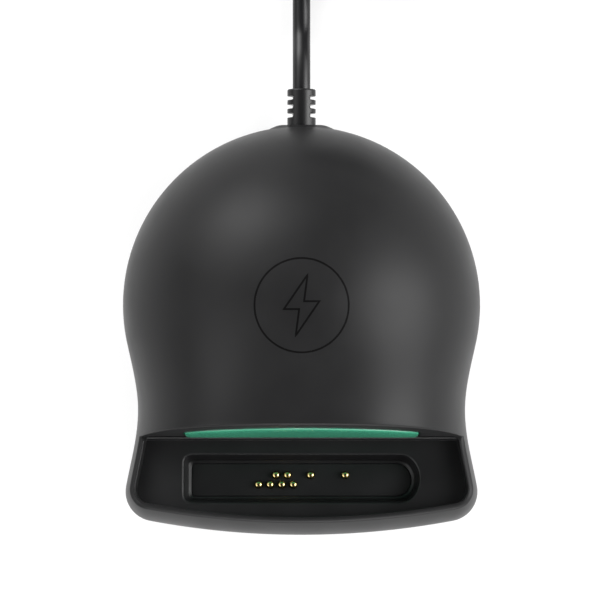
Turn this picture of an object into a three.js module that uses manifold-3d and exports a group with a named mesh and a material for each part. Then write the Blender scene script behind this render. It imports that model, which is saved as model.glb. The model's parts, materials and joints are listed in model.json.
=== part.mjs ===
// Desktop charging dock for a small handheld device: a domed housing with a hooded front pocket,
// a keyed contact well with eight spring contacts, a green light window, and a captive USB lead.
// Units are millimetres, +Z up, +Y to the rear. The origin is the bottom centre of the housing's box.
import * as THREE from "three";
import { mergeVertices } from "three/addons/utils/BufferGeometryUtils.js";
import Module from "manifold-3d";

// ---- driving dimensions ----
const DOME_RADIUS = 39; // the rear of the housing is half a ball
const EQUATOR_Z = 8; // height of the ball's centre, where the housing is widest
const SKIRT_Z = 1; // bottom edge of the housing wall
const BOSS_REACH = 0.5; // how far the cable boss stands out behind the ball
const FRONT_Y = -50.26; // foremost point of the housing, from the ball's centre
const WALL = 1.8; // housing wall thickness
const PLAY = 0.3; // gap between pieces that meet
const LEAN = THREE.MathUtils.degToRad(9); // the pocket and its backrest lean back
const POCKET_Y = -28.3; // rear edge of the pocket's rim, from the ball's centre
const POCKET_Z = 19.5;
const POCKET_DEPTH = 3.5; // rim to pocket floor
const WELL_DEPTH = 3.5; // pocket floor to contact floor
const WELL_HALF_LENGTH = 25.3;
const WELL_HALF_WIDTH = 5.15;
const WELL_Y = -8.6; // centre of the contact well, in the pocket's frame
const CONTACT_PITCH = 2.5;
const CONTACT_RADIUS = 0.75;
const CONTACT_TRAVEL_ROOM = 3.6; // length of each contact's spring at rest
const CORD_DIAMETER = 3.9;
const COIL_RADIUS = 23; // middle of the coil's turns
const COIL_ROWS = 3; // turns side by side
const COIL_LAYERS = 4;

const DOME_Y = -(FRONT_Y + DOME_RADIUS + BOSS_REACH) / 2; // the ball's centre in the part's frame

const wasm = await Module();
wasm.setup();

// ---- solids ----
function solid(geometry) {
  const bare = geometry.clone();
  bare.deleteAttribute("normal");
  bare.deleteAttribute("uv");
  const merged = mergeVertices(bare, 1e-4);
  return new wasm.Manifold(
    new wasm.Mesh({
      numProp: 3,
      vertProperties: new Float32Array(merged.attributes.position.array),
      triVerts: new Uint32Array(merged.index.array),
    }),
  );
}

function geometryOf(manifold) {
  const mesh = manifold.getMesh();
  const geometry = new THREE.BufferGeometry();
  geometry.setAttribute("position", new THREE.BufferAttribute(mesh.vertProperties, 3));
  geometry.setIndex(new THREE.BufferAttribute(mesh.triVerts, 1));
  return geometry;
}

const join = (first, ...others) => others.reduce((sum, other) => sum.add(other), first);
const cut = (first, ...others) => others.reduce((rest, other) => rest.subtract(other), first);

const planShape = (points) => new THREE.Shape(points.map(([x, y]) => new THREE.Vector2(x, y)));
const scaled = (points, [across, along]) => points.map(([x, y]) => [x * across, y * along]);

// A closed plan shape, extruded along Z from low to high.
function prism(points, low, high) {
  const geometry = new THREE.ExtrudeGeometry(planShape(points), { depth: high - low, bevelEnabled: false });
  return solid(geometry.translate(0, 0, low));
}

function box(x0, x1, y0, y1, z0, z1) {
  const geometry = new THREE.BoxGeometry(x1 - x0, y1 - y0, z1 - z0);
  return solid(geometry.translate((x0 + x1) / 2, (y0 + y1) / 2, (z0 + z1) / 2));
}

// A turned piece about the Z axis, from [radius, z] pairs that start and end on the axis or close up.
function turned(profile, sides) {
  const points = profile.map(([r, z]) => new THREE.Vector2(r, z));
  return new THREE.LatheGeometry(points, sides).rotateX(Math.PI / 2);
}

function rod(x, y, radius, low, high, sides = 20) {
  const profile = [[0, low], [radius, low], [radius, high], [0, high]];
  return solid(turned(profile, sides).translate(x, y, 0));
}

// A surface through closed loops of points, the last loop joined back to the first.
function ringSurface(loops) {
  const count = loops[0].length;
  const positions = loops.flat().flatMap((p) => [p.x, p.y, p.z]);
  const index = [];
  loops.forEach((_, row) => {
    const next = (row + 1) % loops.length;
    for (let i = 0; i < count; i++) {
      const j = (i + 1) % count;
      const [a, b, c, d] = [row * count + i, row * count + j, next * count + j, next * count + i];
      index.push(a, b, c, a, c, d);
    }
  });
  const geometry = new THREE.BufferGeometry();
  geometry.setAttribute("position", new THREE.Float32BufferAttribute(positions, 3));
  geometry.setIndex(index);
  return geometry;
}

// A round section swept along a list of points, with closed ends.
function tube(points, radius, steps, sides) {
  const path = new THREE.CatmullRomCurve3(points.map((p) => new THREE.Vector3(...p)));
  const section = new THREE.Shape();
  section.absarc(0, 0, radius, 0, 2 * Math.PI, false);
  return new THREE.ExtrudeGeometry(section, { steps, extrudePath: path, curveSegments: sides });
}

// ---- the housing's outer form, in the ball's frame ----
const NECK_START_Y = -8.5; // where the plan leaves the circle
const NECK_Y = -23; // narrowest point of the plan
const NECK_HALF_WIDTH = 35.7;
const FOOT_Y = -39.5; // where the front corner starts
const FOOT_HALF_WIDTH = 38.3;
const FOOT_FLARE = 0.19; // how fast the foot widens there
const CROWN_REACH = 25; // the crown is level again this far in front of the centre
const CROWN_POWER = 1.4;
const HOOD_POWER = 2.7; // 2 is a round section, more is squarer

function hermite(t, start, end, startSlope, endSlope) {
  const t2 = t * t;
  const t3 = t2 * t;
  const startPart = (2 * t3 - 3 * t2 + 1) * start + (t3 - 2 * t2 + t) * startSlope;
  return startPart + (3 * t2 - 2 * t3) * end + (t3 - t2) * endSlope;
}

// Half the housing's width at the equator, at a distance y from the ball's centre.
function halfWidth(y) {
  if (y >= NECK_START_Y) return Math.sqrt(Math.max(0, DOME_RADIUS ** 2 - y ** 2));
  if (y >= NECK_Y) {
    const start = halfWidth(NECK_START_Y);
    const run = NECK_START_Y - NECK_Y;
    const slope = (NECK_START_Y / start) * run;
    return hermite((NECK_START_Y - y) / run, start, NECK_HALF_WIDTH, slope, 0);
  }
  const run = NECK_Y - FOOT_Y;
  return hermite((NECK_Y - y) / run, NECK_HALF_WIDTH, FOOT_HALF_WIDTH, 0, FOOT_FLARE * run);
}

// Height of the crown above the equator: it dips as the ball runs out into the hood, then levels.
function crown(y) {
  if (y >= 0) return Math.sqrt(Math.max(0, DOME_RADIUS ** 2 - y ** 2));
  const share = Math.min(1, y / -CROWN_REACH);
  const dip = (CROWN_REACH ** 2 / DOME_RADIUS / (2 * CROWN_POWER + 2)) * (1 - (1 - share ** 2) ** (CROWN_POWER + 1));
  return DOME_RADIUS - dip;
}

function hoodHeight(x, y) {
  if (y >= 0) return EQUATOR_Z + Math.sqrt(Math.max(0, DOME_RADIUS ** 2 - x ** 2 - y ** 2));
  const share = THREE.MathUtils.smoothstep(y / POCKET_Y, 0, 1);
  const power = 2 + (HOOD_POWER - 2) * share;
  const across = Math.min(1, Math.abs(x) / halfWidth(y));
  return EQUATOR_Z + crown(y) * Math.sqrt(1 - across ** power);
}

// The point of the hood's front edge at x, in the leaning plane of the backrest.
function visorPoint(x) {
  let y = POCKET_Y;
  for (let i = 0; i < 20; i++) y = POCKET_Y + (hoodHeight(x, y) - POCKET_Z) * Math.tan(LEAN);
  return new THREE.Vector3(x, y, hoodHeight(x, y));
}

// Where the hood's front edge comes down to the pocket's rim.
function visorCornerX() {
  let [low, high] = [0, halfWidth(POCKET_Y)];
  for (let i = 0; i < 40; i++) {
    const middle = (low + high) / 2;
    if (hoodHeight(middle, POCKET_Y) > POCKET_Z) low = middle;
    else high = middle;
  }
  return low;
}
const CORNER_X = visorCornerX();

// Plan points of a front outline's right half, from the rear corner round to the middle of the front:
// a flared side, a corner arc that meets it, and a shallow front arc.
function frontOutline(o, sideSteps, cornerSteps, frontSteps) {
  const points = [];
  for (let i = 0; i < sideSteps; i++) {
    const t = i / sideSteps;
    const run = o.rearY - o.sideY;
    const x = hermite(t, o.rearX, o.sideX, o.rearFlare * run, o.flare * run);
    points.push([x, o.rearY - run * t]);
  }
  const inward = new THREE.Vector2(-1, -o.flare).normalize();
  const side = new THREE.Vector2(o.sideX, o.sideY);
  const frontCentre = new THREE.Vector2(0, o.frontY + o.frontRadius);
  const across = side.clone().sub(frontCentre);
  const radius = (o.frontRadius ** 2 - across.lengthSq()) / (2 * (inward.dot(across) + o.frontRadius));
  const corner = side.clone().addScaledVector(inward, radius);
  const startAngle = Math.atan2(-inward.y, -inward.x);
  const endAngle = Math.atan2(corner.y - frontCentre.y, corner.x - frontCentre.x);
  for (let i = 0; i < cornerSteps; i++) {
    const angle = startAngle + ((endAngle - startAngle) * i) / cornerSteps;
    points.push([corner.x + radius * Math.cos(angle), corner.y + radius * Math.sin(angle)]);
  }
  for (let i = 0; i <= frontSteps; i++) {
    const angle = endAngle + ((-Math.PI / 2 - endAngle) * i) / frontSteps;
    const x = i === frontSteps ? 0 : frontCentre.x + o.frontRadius * Math.cos(angle);
    points.push([x, frontCentre.y + o.frontRadius * Math.sin(angle)]);
  }
  return points;
}

const FOOT = {
  rearX: halfWidth(POCKET_Y),
  rearY: POCKET_Y,
  rearFlare: (halfWidth(POCKET_Y - 0.1) - halfWidth(POCKET_Y)) / 0.1,
  sideX: FOOT_HALF_WIDTH,
  sideY: FOOT_Y,
  flare: FOOT_FLARE,
  frontY: FRONT_Y,
  frontRadius: 180,
};
const RIM = {
  rearX: CORNER_X,
  rearY: POCKET_Y,
  rearFlare: 0.12,
  sideX: 36.5,
  sideY: -38.6,
  flare: 0.16,
  frontY: -46.15,
  frontRadius: 190,
};
// The pocket's outline inside the rim, a given distance in from the tray's own edge.
const TRAY_INSET = 0.82;
const trayOutline = (inset) => ({
  rearX: RIM.rearX - TRAY_INSET - inset,
  rearY: POCKET_Y - PLAY - 0.45 * inset,
  rearFlare: RIM.rearFlare,
  sideX: RIM.sideX - TRAY_INSET - inset,
  sideY: RIM.sideY,
  flare: RIM.flare,
  frontY: RIM.frontY + TRAY_INSET + inset,
  frontRadius: RIM.frontRadius,
});

// ---- housing shell ----
const HOOD_COLUMNS = 16;
const SIDE_STEPS = 3;
const CORNER_STEPS = 4;
const FRONT_STEPS = 4;
const SKIN_ROWS = 11;

// Points of the equator's outline from the middle of the rear to the pocket's corner, evenly spaced.
function equatorPoints(count) {
  const outline = [];
  for (let i = 0; i <= 200; i++) {
    const angle = Math.PI / 2 - (i / 200) * (Math.PI / 2 - Math.asin(NECK_START_Y / DOME_RADIUS));
    outline.push(new THREE.Vector3(DOME_RADIUS * Math.cos(angle), DOME_RADIUS * Math.sin(angle), 0));
  }
  for (let i = 1; i <= 80; i++) {
    const y = NECK_START_Y + ((POCKET_Y - NECK_START_Y) * i) / 80;
    outline.push(new THREE.Vector3(halfWidth(y), y, 0));
  }
  const curve = new THREE.CatmullRomCurve3(outline);
  curve.arcLengthDivisions = 1200;
  return curve.getSpacedPoints(count);
}

// One column of the outer skin runs from the opening's edge down to the skirt's edge.
function hoodColumn(start, end) {
  const column = [];
  for (let row = 0; row < SKIN_ROWS - 2; row++) {
    const share = Math.sin((row / (SKIN_ROWS - 3)) * (Math.PI / 2));
    const x = THREE.MathUtils.lerp(start.x, end.x, share);
    const y = THREE.MathUtils.lerp(start.y, end.y, share);
    const last = row === SKIN_ROWS - 3;
    column.push(new THREE.Vector3(x, y, last ? EQUATOR_Z : row ? hoodHeight(x, y) : start.z));
  }
  return column;
}

function skirtColumn(rim, foot) {
  const column = [];
  const top = POCKET_Z + (POCKET_Y - rim[1]) * Math.tan(LEAN);
  for (let row = 0; row < SKIN_ROWS - 2; row++) {
    const z = THREE.MathUtils.lerp(top, EQUATOR_Z, row / (SKIN_ROWS - 3));
    const share = ((z - EQUATOR_Z) / (top - EQUATOR_Z)) ** 2;
    column.push(
      new THREE.Vector3(
        THREE.MathUtils.lerp(foot[0], rim[0], share),
        THREE.MathUtils.lerp(foot[1], rim[1], share),
        z,
      ),
    );
  }
  return column;
}

const TUCK = 0.6; // the wall draws in below the equator
function withSkirt(column, inward) {
  const foot = column[column.length - 1];
  for (const share of [0.5, 1]) {
    const low = foot.clone().addScaledVector(inward, TUCK * share ** 2);
    low.z = THREE.MathUtils.lerp(EQUATOR_Z, SKIRT_Z, share);
    column.push(low);
  }
  return column;
}

function outerColumns() {
  const equator = equatorPoints(HOOD_COLUMNS);
  const right = equator.map((point, i) => {
    const start = visorPoint((CORNER_X * i) / HOOD_COLUMNS);
    return hoodColumn(start, point);
  });
  const rim = frontOutline(RIM, SIDE_STEPS, CORNER_STEPS, FRONT_STEPS);
  const foot = frontOutline(FOOT, SIDE_STEPS, CORNER_STEPS, FRONT_STEPS);
  rim.slice(1).forEach((point, i) => right.push(skirtColumn(point, foot[i + 1])));
  right.forEach((column, i) => {
    const here = column[SKIN_ROWS - 3];
    const before = right[Math.max(0, i - 1)][SKIN_ROWS - 3];
    const after = right[Math.min(right.length - 1, i + 1)][SKIN_ROWS - 3];
    const along = after.clone().sub(before).setZ(0);
    if (i === 0 || i === right.length - 1) along.set(here.y > 0 ? 1 : -1, 0, 0);
    withSkirt(column, new THREE.Vector3(along.y, -along.x, 0).normalize());
  });
  const left = right
    .slice(1, -1)
    .reverse()
    .map((column) => column.map((p) => new THREE.Vector3(-p.x, p.y, p.z)));
  return [...right, ...left];
}

// The inner skin lies one wall thickness inside, and its edges stay in the opening's two planes.
function innerColumns(outer) {
  const count = outer.length;
  const visor = new THREE.Vector3(0, -Math.cos(LEAN), Math.sin(LEAN));
  const rim = new THREE.Vector3(0, Math.sin(LEAN), Math.cos(LEAN));
  return outer.map((column, i) => {
    const before = outer[(i + count - 1) % count];
    const after = outer[(i + 1) % count];
    return column.map((point, row) => {
      const down = column[Math.min(row + 1, column.length - 1)]
        .clone()
        .sub(column[Math.max(row - 1, 0)]);
      const normal = after[row].clone().sub(before[row]).cross(down).normalize();
      if (row === 0) {
        const corner = i === HOOD_COLUMNS || i === count - HOOD_COLUMNS;
        if (corner) normal.set(Math.sign(point.x), 0, 0);
        else normal.projectOnPlane(i < HOOD_COLUMNS || i > count - HOOD_COLUMNS ? visor : rim).normalize();
      }
      if (row === column.length - 1) normal.setZ(0).normalize();
      return point.clone().addScaledVector(normal, -WALL);
    });
  });
}

function shellSolid() {
  const outer = outerColumns();
  const inner = innerColumns(outer);
  const loops = [];
  for (let row = 0; row < SKIN_ROWS; row++) loops.push(outer.map((column) => column[row]));
  for (let row = SKIN_ROWS - 1; row >= 0; row--) loops.push(inner.map((column) => column[row]));
  return solid(ringSurface(loops));
}


// ---- the pocket's frame: x to the right, y up its slope to the rear, z square to its rim ----
const toPocket = (y) => (y - POCKET_Y) / Math.cos(LEAN);
const inPocket = (manifold) => {
  return manifold.rotate([-THREE.MathUtils.radToDeg(LEAN), 0, 0]).translate([0, POCKET_Y, POCKET_Z]);
};

function trayPoints(inset) {
  const half = frontOutline(trayOutline(inset), SIDE_STEPS, CORNER_STEPS, FRONT_STEPS);
  const right = half.map(([x, y]) => [x, toPocket(y)]);
  const left = right.slice(0, -1).map(([x, y]) => [-x, y]);
  return [...left, ...right.reverse()];
}

// The well's keyed outline about its own centre: small corners at the left, a round end at the right.
const WELL_CORNER = 1.65;
const WELL_ROUND = 4.1;
function wellPoints(grow) {
  const length = WELL_HALF_LENGTH + grow;
  const width = WELL_HALF_WIDTH + grow;
  const points = [];
  for (let i = 0; i <= 8; i++) {
    const angle = -Math.PI / 2 + (i / 8) * Math.PI;
    points.push([length - WELL_ROUND + WELL_ROUND * Math.cos(angle), width * Math.sin(angle)]);
  }
  for (let i = 0; i <= 8; i++) {
    const angle = Math.PI / 2 + (i / 8) * Math.PI;
    const centreY = (width - WELL_CORNER) * (i < 4 ? 1 : -1);
    const x = -length + WELL_CORNER + WELL_CORNER * Math.cos(angle);
    points.push([x, (i === 4 ? width - WELL_CORNER : centreY) + WELL_CORNER * Math.sin(angle)]);
    if (i === 4) points.push([x, -width + WELL_CORNER]);
  }
  return points;
}

const WELL_DRAFT = 1.5; // the well's walls close in by this much on the way down
const BLOCK_TOP = -POCKET_DEPTH - WELL_DEPTH;
const TRAY_FLOOR = 1.8;
const WELL_FOOT = BLOCK_TOP - 0.4;
const BLOCK_BOTTOM = BLOCK_TOP - 5.4;
const EAR_X = 28.3; // the block is screwed to the tray here
const EAR_TOP = BLOCK_TOP - 2.6;
const EAR_BOTTOM = EAR_TOP - 1.8;

function cradleTray() {
  const body = prism(trayPoints(0), -POCKET_DEPTH - TRAY_FLOOR, 0);
  const pocket = prism(trayPoints(0.45), -POCKET_DEPTH, 1);
  const wellWall = prism(wellPoints(1), WELL_FOOT, -POCKET_DEPTH - 0.5).translate([0, WELL_Y, 0]);
  const draft = [(WELL_HALF_LENGTH - WELL_DRAFT) / WELL_HALF_LENGTH, (WELL_HALF_WIDTH - WELL_DRAFT) / WELL_HALF_WIDTH];
  const geometry = new THREE.ExtrudeGeometry(planShape(wellPoints(0)), { depth: WELL_DEPTH, bevelEnabled: false });
  const spots = geometry.attributes.position;
  for (let i = 0; i < spots.count; i++) {
    if (spots.getZ(i) < 0.01) spots.setXY(i, spots.getX(i) * draft[0], spots.getY(i) * draft[1]);
  }
  const well = solid(geometry).translate([0, WELL_Y, BLOCK_TOP]);
  const throat = prism(scaled(wellPoints(0), draft), WELL_FOOT - 1, BLOCK_TOP + 0.01).translate([0, WELL_Y, 0]);
  const bosses = [-1, 1].map((side) => rod(side * EAR_X, WELL_Y, 2.2, EAR_TOP + PLAY, -POCKET_DEPTH - 1));
  const pilots = [-1, 1].map((side) => rod(side * EAR_X, WELL_Y, 1.3, EAR_TOP, -POCKET_DEPTH - 1.5));
  return inPocket(cut(join(body, wellWall, ...bosses), pocket, well, throat, ...pilots));
}

// ---- contacts: a plunger in a barrel, with a spring below it ----
const FRONT_ROW = [-9.3, -6.8, -4.3, -1.8];
const REAR_ROW = [-5.55, -3.05, 1.95, 9.45];
const ROW_OFFSET = 1.03;
const CONTACTS = [
  ...FRONT_ROW.map((x) => [x, WELL_Y - ROW_OFFSET]),
  ...REAR_ROW.map((x) => [x, WELL_Y + ROW_OFFSET]),
];
const TIP_HEIGHT = 1.2; // how far a contact stands above the well's floor
const TOP_PLATE = 0.95;
const COLLAR_RADIUS = CONTACT_RADIUS + 0.09;
const BARREL_BORE = 0.9;
const BARREL_RADIUS = 1;
const BARREL_FLOOR = BLOCK_TOP - TOP_PLATE - 1.05 - CONTACT_TRAVEL_ROOM - 0.1;
const BOARD_TOP = BARREL_FLOOR - 0.8;

function plunger() {
  const top = BLOCK_TOP + TIP_HEIGHT;
  const collarTop = BLOCK_TOP - TOP_PLATE - 0.05;
  const profile = [[0, top]];
  for (const share of [0.35, 0.65, 0.88]) {
    profile.push([CONTACT_RADIUS * share, top - 0.42 * (1 - Math.sqrt(1 - share ** 2))]);
  }
  profile.push([CONTACT_RADIUS, top - 0.42], [CONTACT_RADIUS, collarTop], [COLLAR_RADIUS, collarTop]);
  profile.push([COLLAR_RADIUS, collarTop - 1], [0, collarTop - 1]);
  return turned(profile.reverse(), 14);
}

function barrel() {
  const top = BLOCK_TOP - TOP_PLATE - 0.05;
  const profile = [
    [0, BOARD_TOP - 1.6],
    [0.3, BOARD_TOP - 1.6],
    [0.3, BARREL_FLOOR - 0.5],
    [BARREL_RADIUS, BARREL_FLOOR - 0.5],
    [BARREL_RADIUS, top],
    [BARREL_BORE, top],
    [BARREL_BORE, BARREL_FLOOR],
    [0, BARREL_FLOOR],
  ];
  return turned(profile, 14);
}

function spring() {
  const turns = 5;
  const wire = 0.13;
  const radius = 0.66;
  const points = [];
  for (let i = 0; i <= turns * 8; i++) {
    const angle = (i / 8) * 2 * Math.PI;
    const z = BARREL_FLOOR + 0.05 + wire + ((CONTACT_TRAVEL_ROOM - 2 * wire) * i) / (turns * 8);
    points.push([radius * Math.cos(angle), radius * Math.sin(angle), z]);
  }
  return tube(points, wire, turns * 8, 2);
}

function contactBlock() {
  const floorScale = [
    (WELL_HALF_LENGTH - WELL_DRAFT - PLAY) / WELL_HALF_LENGTH,
    (WELL_HALF_WIDTH - WELL_DRAFT - PLAY) / WELL_HALF_WIDTH,
  ];
  const top = prism(scaled(wellPoints(0), floorScale), WELL_FOOT - 1, BLOCK_TOP).translate([0, WELL_Y, 0]);
  const body = box(-26, 26, WELL_Y - 5.6, WELL_Y + 5.6, BLOCK_BOTTOM, WELL_FOOT - PLAY);
  const ears = box(-31, 31, WELL_Y - 2.4, WELL_Y + 2.4, EAR_BOTTOM, EAR_TOP);
  const bores = CONTACTS.flatMap(([x, y]) => [
    rod(x, y, BARREL_RADIUS + 0.06, BLOCK_BOTTOM - 1, BLOCK_TOP - TOP_PLATE, 14),
    rod(x, y, CONTACT_RADIUS + 0.06, BLOCK_BOTTOM - 1, BLOCK_TOP + 1, 14),
  ]);
  const holes = [-1, 1].map((side) => rod(side * EAR_X, WELL_Y, 1.3, EAR_BOTTOM - 1, EAR_TOP + 1));
  return inPocket(cut(join(top, body, ears), ...bores, ...holes));
}

function contactBoard() {
  const board = box(-17, 17, WELL_Y - 4.6, WELL_Y + 4.6, BOARD_TOP - 1.2, BOARD_TOP);
  return inPocket(cut(board, ...CONTACTS.map(([x, y]) => rod(x, y, 0.36, BOARD_TOP - 2, BOARD_TOP + 1, 10))));
}

// ---- backrest and its light window, in the leaning plane ----
const PANEL_FACE = 0.15; // how far the panel sits behind the hood's front edge
const PANEL_THICKNESS = 2;
const WINDOW_HALF_LENGTH = 24.8;
const WINDOW_STANDS = 0.35; // how far the window stands in front of the hood's edge
const WINDOW_END = 6.4; // height of the window's ends
const WINDOW_TOP = 16.6;
const WINDOW_FOOT = 0.3;

// Points of an upright outline (x, height above the pocket's rim) swept from near to far.
function upright(points, near, far) {
  const shape = planShape(points.map(([x, z]) => [x, z]));
  const geometry = new THREE.ExtrudeGeometry(shape, { depth: far - near, bevelEnabled: false });
  return solid(geometry.rotateX(Math.PI / 2).translate(0, far, 0));
}

function archPoints(inset) {
  const points = [[-CORNER_X + inset, -3.2], [CORNER_X - inset, -3.2]];
  for (let i = HOOD_COLUMNS; i >= -HOOD_COLUMNS; i--) {
    const x = (CORNER_X * i) / HOOD_COLUMNS;
    const here = visorPoint(x);
    const near = visorPoint(x - 0.05);
    const far = visorPoint(x + 0.05);
    const height = (p) => (p.z - POCKET_Z) / Math.cos(LEAN);
    const along = new THREE.Vector2(far.x - near.x, height(far) - height(near)).normalize();
    if (Math.abs(i) === HOOD_COLUMNS) points.push([x - Math.sign(x) * inset, 0]);
    else points.push([x + along.y * inset, height(here) - along.x * inset]);
  }
  return points;
}

function windowPoints(grow) {
  const length = WINDOW_HALF_LENGTH + grow;
  const points = [[-length + 1.5, WINDOW_FOOT - grow], [length - 1.5, WINDOW_FOOT - grow], [length, 1.8]];
  for (let i = 12; i >= -12; i--) {
    const x = (length * i) / 12;
    const rise = Math.cos((i / 12) * 1.5707) ** 0.62;
    points.push([x, WINDOW_END + (WINDOW_TOP - WINDOW_END) * rise + grow]);
  }
  points.push([-length, 1.8]);
  return points;
}

function backrestPanel() {
  const panel = upright(archPoints(WALL + 0.5), PANEL_FACE, PANEL_FACE + PANEL_THICKNESS);
  return inPocket(cut(panel, upright(windowPoints(PLAY), -1, 5)));
}
const lightWindow = () => inPocket(upright(windowPoints(0), -WINDOW_STANDS, PANEL_THICKNESS + 0.6));

// ---- housing ----
const BOSS_HALF_WIDTH = 6.4;
const CORD_Z = 7;
const BOOT_RADIUS = 3.1;
const POSTS = [
  [-26, 12, 30],
  [26, 12, 30],
  [-29, -20, 24.5],
  [29, -20, 24.5],
];
const BOARD_POSTS = [
  [-17, -7],
  [17, -7],
  [-17, 17],
  [17, 17],
];
const FEET = [
  [-20, 24],
  [20, 24],
  [-27, -39],
  [27, -39],
];
const PLATE_TOP = 3;
const BOARD_Z = 9.2;

// A round piece about an axis that runs from near to far along Y at the cord's height.
function rodAlongY(radius, near, far, sides = 24) {
  return rod(0, 0, radius, near, far, sides).rotate([-90, 0, 0]).translate([0, 0, CORD_Z]);
}

function topShell() {
  const flank = BOSS_HALF_WIDTH - 1;
  const back = DOME_RADIUS + BOSS_REACH;
  const outline = [
    [-BOSS_HALF_WIDTH, 36.6],
    [BOSS_HALF_WIDTH, 36.6],
    [BOSS_HALF_WIDTH, back - 0.8],
    [flank, back],
    [-flank, back],
    [-BOSS_HALF_WIDTH, back - 0.8],
  ];
  const boss = prism(outline, SKIRT_Z, CORD_Z + 6);
  const posts = POSTS.map(([x, y, top]) => rod(x, y, 3, PLATE_TOP + 1 + PLAY, top));
  const pilots = POSTS.map(([x, y]) => rod(x, y, 1.3, PLATE_TOP, 17));
  const pocket = inPocket(prism(trayPoints(-PLAY / 2), -POCKET_DEPTH - TRAY_FLOOR - PLAY, 3));
  const hole = rodAlongY(BOOT_RADIUS + PLAY, 30, 45);
  return cut(join(shellSolid(), boss, ...posts), ...pilots, pocket, hole);
}

function basePlate() {
  const bottom = innerColumns(outerColumns()).map((column) => column[column.length - 1]);
  const inset = bottom.map((p, i) => {
    const before = bottom[(i + bottom.length - 1) % bottom.length];
    const after = bottom[(i + 1) % bottom.length];
    const inward = new THREE.Vector2(after.y - before.y, before.x - after.x).normalize().multiplyScalar(PLAY);
    return [p.x + inward.x, p.y + inward.y];
  });
  const plate = prism(inset.reverse(), SKIRT_Z, PLATE_TOP);
  const posts = POSTS.map(([x, y]) => rod(x, y, 3, PLATE_TOP - 0.5, PLATE_TOP + 1));
  const boardPosts = BOARD_POSTS.map(([x, y]) => rod(x, y, 2.4, PLATE_TOP - 0.5, BOARD_Z - 0.2));
  const wells = POSTS.map(([x, y]) => rod(x, y, 2.4, SKIRT_Z - 1, SKIRT_Z + 1.6));
  const holes = POSTS.map(([x, y]) => rod(x, y, 1.3, SKIRT_Z - 1, PLATE_TOP + 2));
  const pilots = BOARD_POSTS.map(([x, y]) => rod(x, y, 1, PLATE_TOP + 0.5, BOARD_Z + 1));
  const seats = FEET.map(([x, y]) => rod(x, y, 4.3, SKIRT_Z - 1, SKIRT_Z + 1, 28));
  return cut(join(plate, ...posts, ...boardPosts), ...wells, ...holes, ...pilots, ...seats);
}

// ---- boards ----
function mainBoard() {
  const board = box(-22, 22, -12, 22, BOARD_Z, BOARD_Z + 1.6);
  return cut(board, ...BOARD_POSTS.map(([x, y]) => rod(x, y, 1.15, BOARD_Z - 1, BOARD_Z + 3)));
}

// ---- strain relief: ribs on a thin sleeve, with a spine above and below ----
const RIBS = [
  [39.5, 41.0],
  [41.95, 42.95],
  [43.85, 44.85],
  [45.7, 47.25],
];
const SLOT_FLOOR = 1.72; // half-width left between the slots of the two sides
function boot() {
  const sleeve = rodAlongY(BOOT_RADIUS, 35, RIBS[3][1]);
  const flange = rodAlongY(BOOT_RADIUS + 0.6, 33.6, 35.2);
  const slots = RIBS.slice(1).flatMap(([far], i) =>
    [-1, 1].map((side) => {
      const [near, reach] = side > 0 ? [SLOT_FLOOR, 5] : [-5, -SLOT_FLOOR];
      return box(near, reach, RIBS[i][1], far, CORD_Z - 5, CORD_Z + 5);
    }),
  );
  return cut(join(sleeve, flange), rodAlongY(CORD_DIAMETER / 2 + 0.15, 30, 50), ...slots);
}

// ---- the lead, its coil and its plug ----
const CORD_RADIUS = CORD_DIAMETER / 2;
const COIL_LIFT = 0.7; // the tie's strap passes below the coil
const COIL_OUTER_TURN = COIL_RADIUS + CORD_DIAMETER;
const COIL_X = COIL_OUTER_TURN;
const COIL_Y = 97.5;
const PLUG_X = 64.6;
const PLUG_Y = 105.5; // where the lead enters the plug
const PLUG_LENGTH = 24;
const PLUG_HALF_WIDTH = 7.8;
const PLUG_HEIGHT = 8;
const PLUG_Z = PLUG_HEIGHT / 2;
const CORD_ROUTE = [
  [0, 26, CORD_Z],
  [0, 36, CORD_Z],
  [0, 42, CORD_Z],
  [0, 48, CORD_Z],
  [0, 54, 5.9],
  [0, 60, 3.1],
  [0, 67, COIL_LIFT + CORD_RADIUS],
  [0, 74, COIL_LIFT + CORD_RADIUS],
  [0, 81.8, COIL_LIFT + CORD_RADIUS],
];
const TAIL_ROUTE = [
  [COIL_X + 16.6, COIL_Y + COIL_OUTER_TURN, 11.5],
  [COIL_X + 26, COIL_Y + COIL_OUTER_TURN - 1.2, 7.2],
  [COIL_X + 33.6, COIL_Y + COIL_OUTER_TURN - 5.4, 4.2],
  [PLUG_X, PLUG_Y + 6.5, 3.4],
  [PLUG_X, PLUG_Y + PLAY, PLUG_Z],
];

function coilRing() {
  const reach = (COIL_ROWS * CORD_DIAMETER) / 2;
  const height = COIL_LAYERS * CORD_DIAMETER;
  const round = CORD_RADIUS * 0.8;
  const corners = [
    [reach - round, round, -Math.PI / 2],
    [reach - round, height - round, 0],
    [-reach + round, height - round, Math.PI / 2],
    [-reach + round, round, Math.PI],
  ];
  const profile = corners.flatMap(([across, up, start]) =>
    [0, 1, 2].map((step) => {
      const angle = start + (step * Math.PI) / 4;
      return [COIL_RADIUS + across + round * Math.cos(angle), COIL_LIFT + up + round * Math.sin(angle)];
    }),
  );
  profile.push(profile[0]);
  return turned(profile, 48);
}

function coilTie() {
  const reach = (COIL_ROWS * CORD_DIAMETER) / 2 + PLAY;
  const height = COIL_LAYERS * CORD_DIAMETER + PLAY;
  const strap = COIL_LIFT - PLAY;
  const bow = 0.5; // the turns curve away from a straight strap
  const outer = box(-4, 4, -reach - bow - strap, reach + strap, 0, COIL_LIFT + height + strap);
  const inner = box(-5, 5, -reach - bow, reach, COIL_LIFT - PLAY, COIL_LIFT + height);
  return cut(outer, inner).translate([COIL_X, COIL_Y + COIL_RADIUS, 0]);
}

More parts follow.
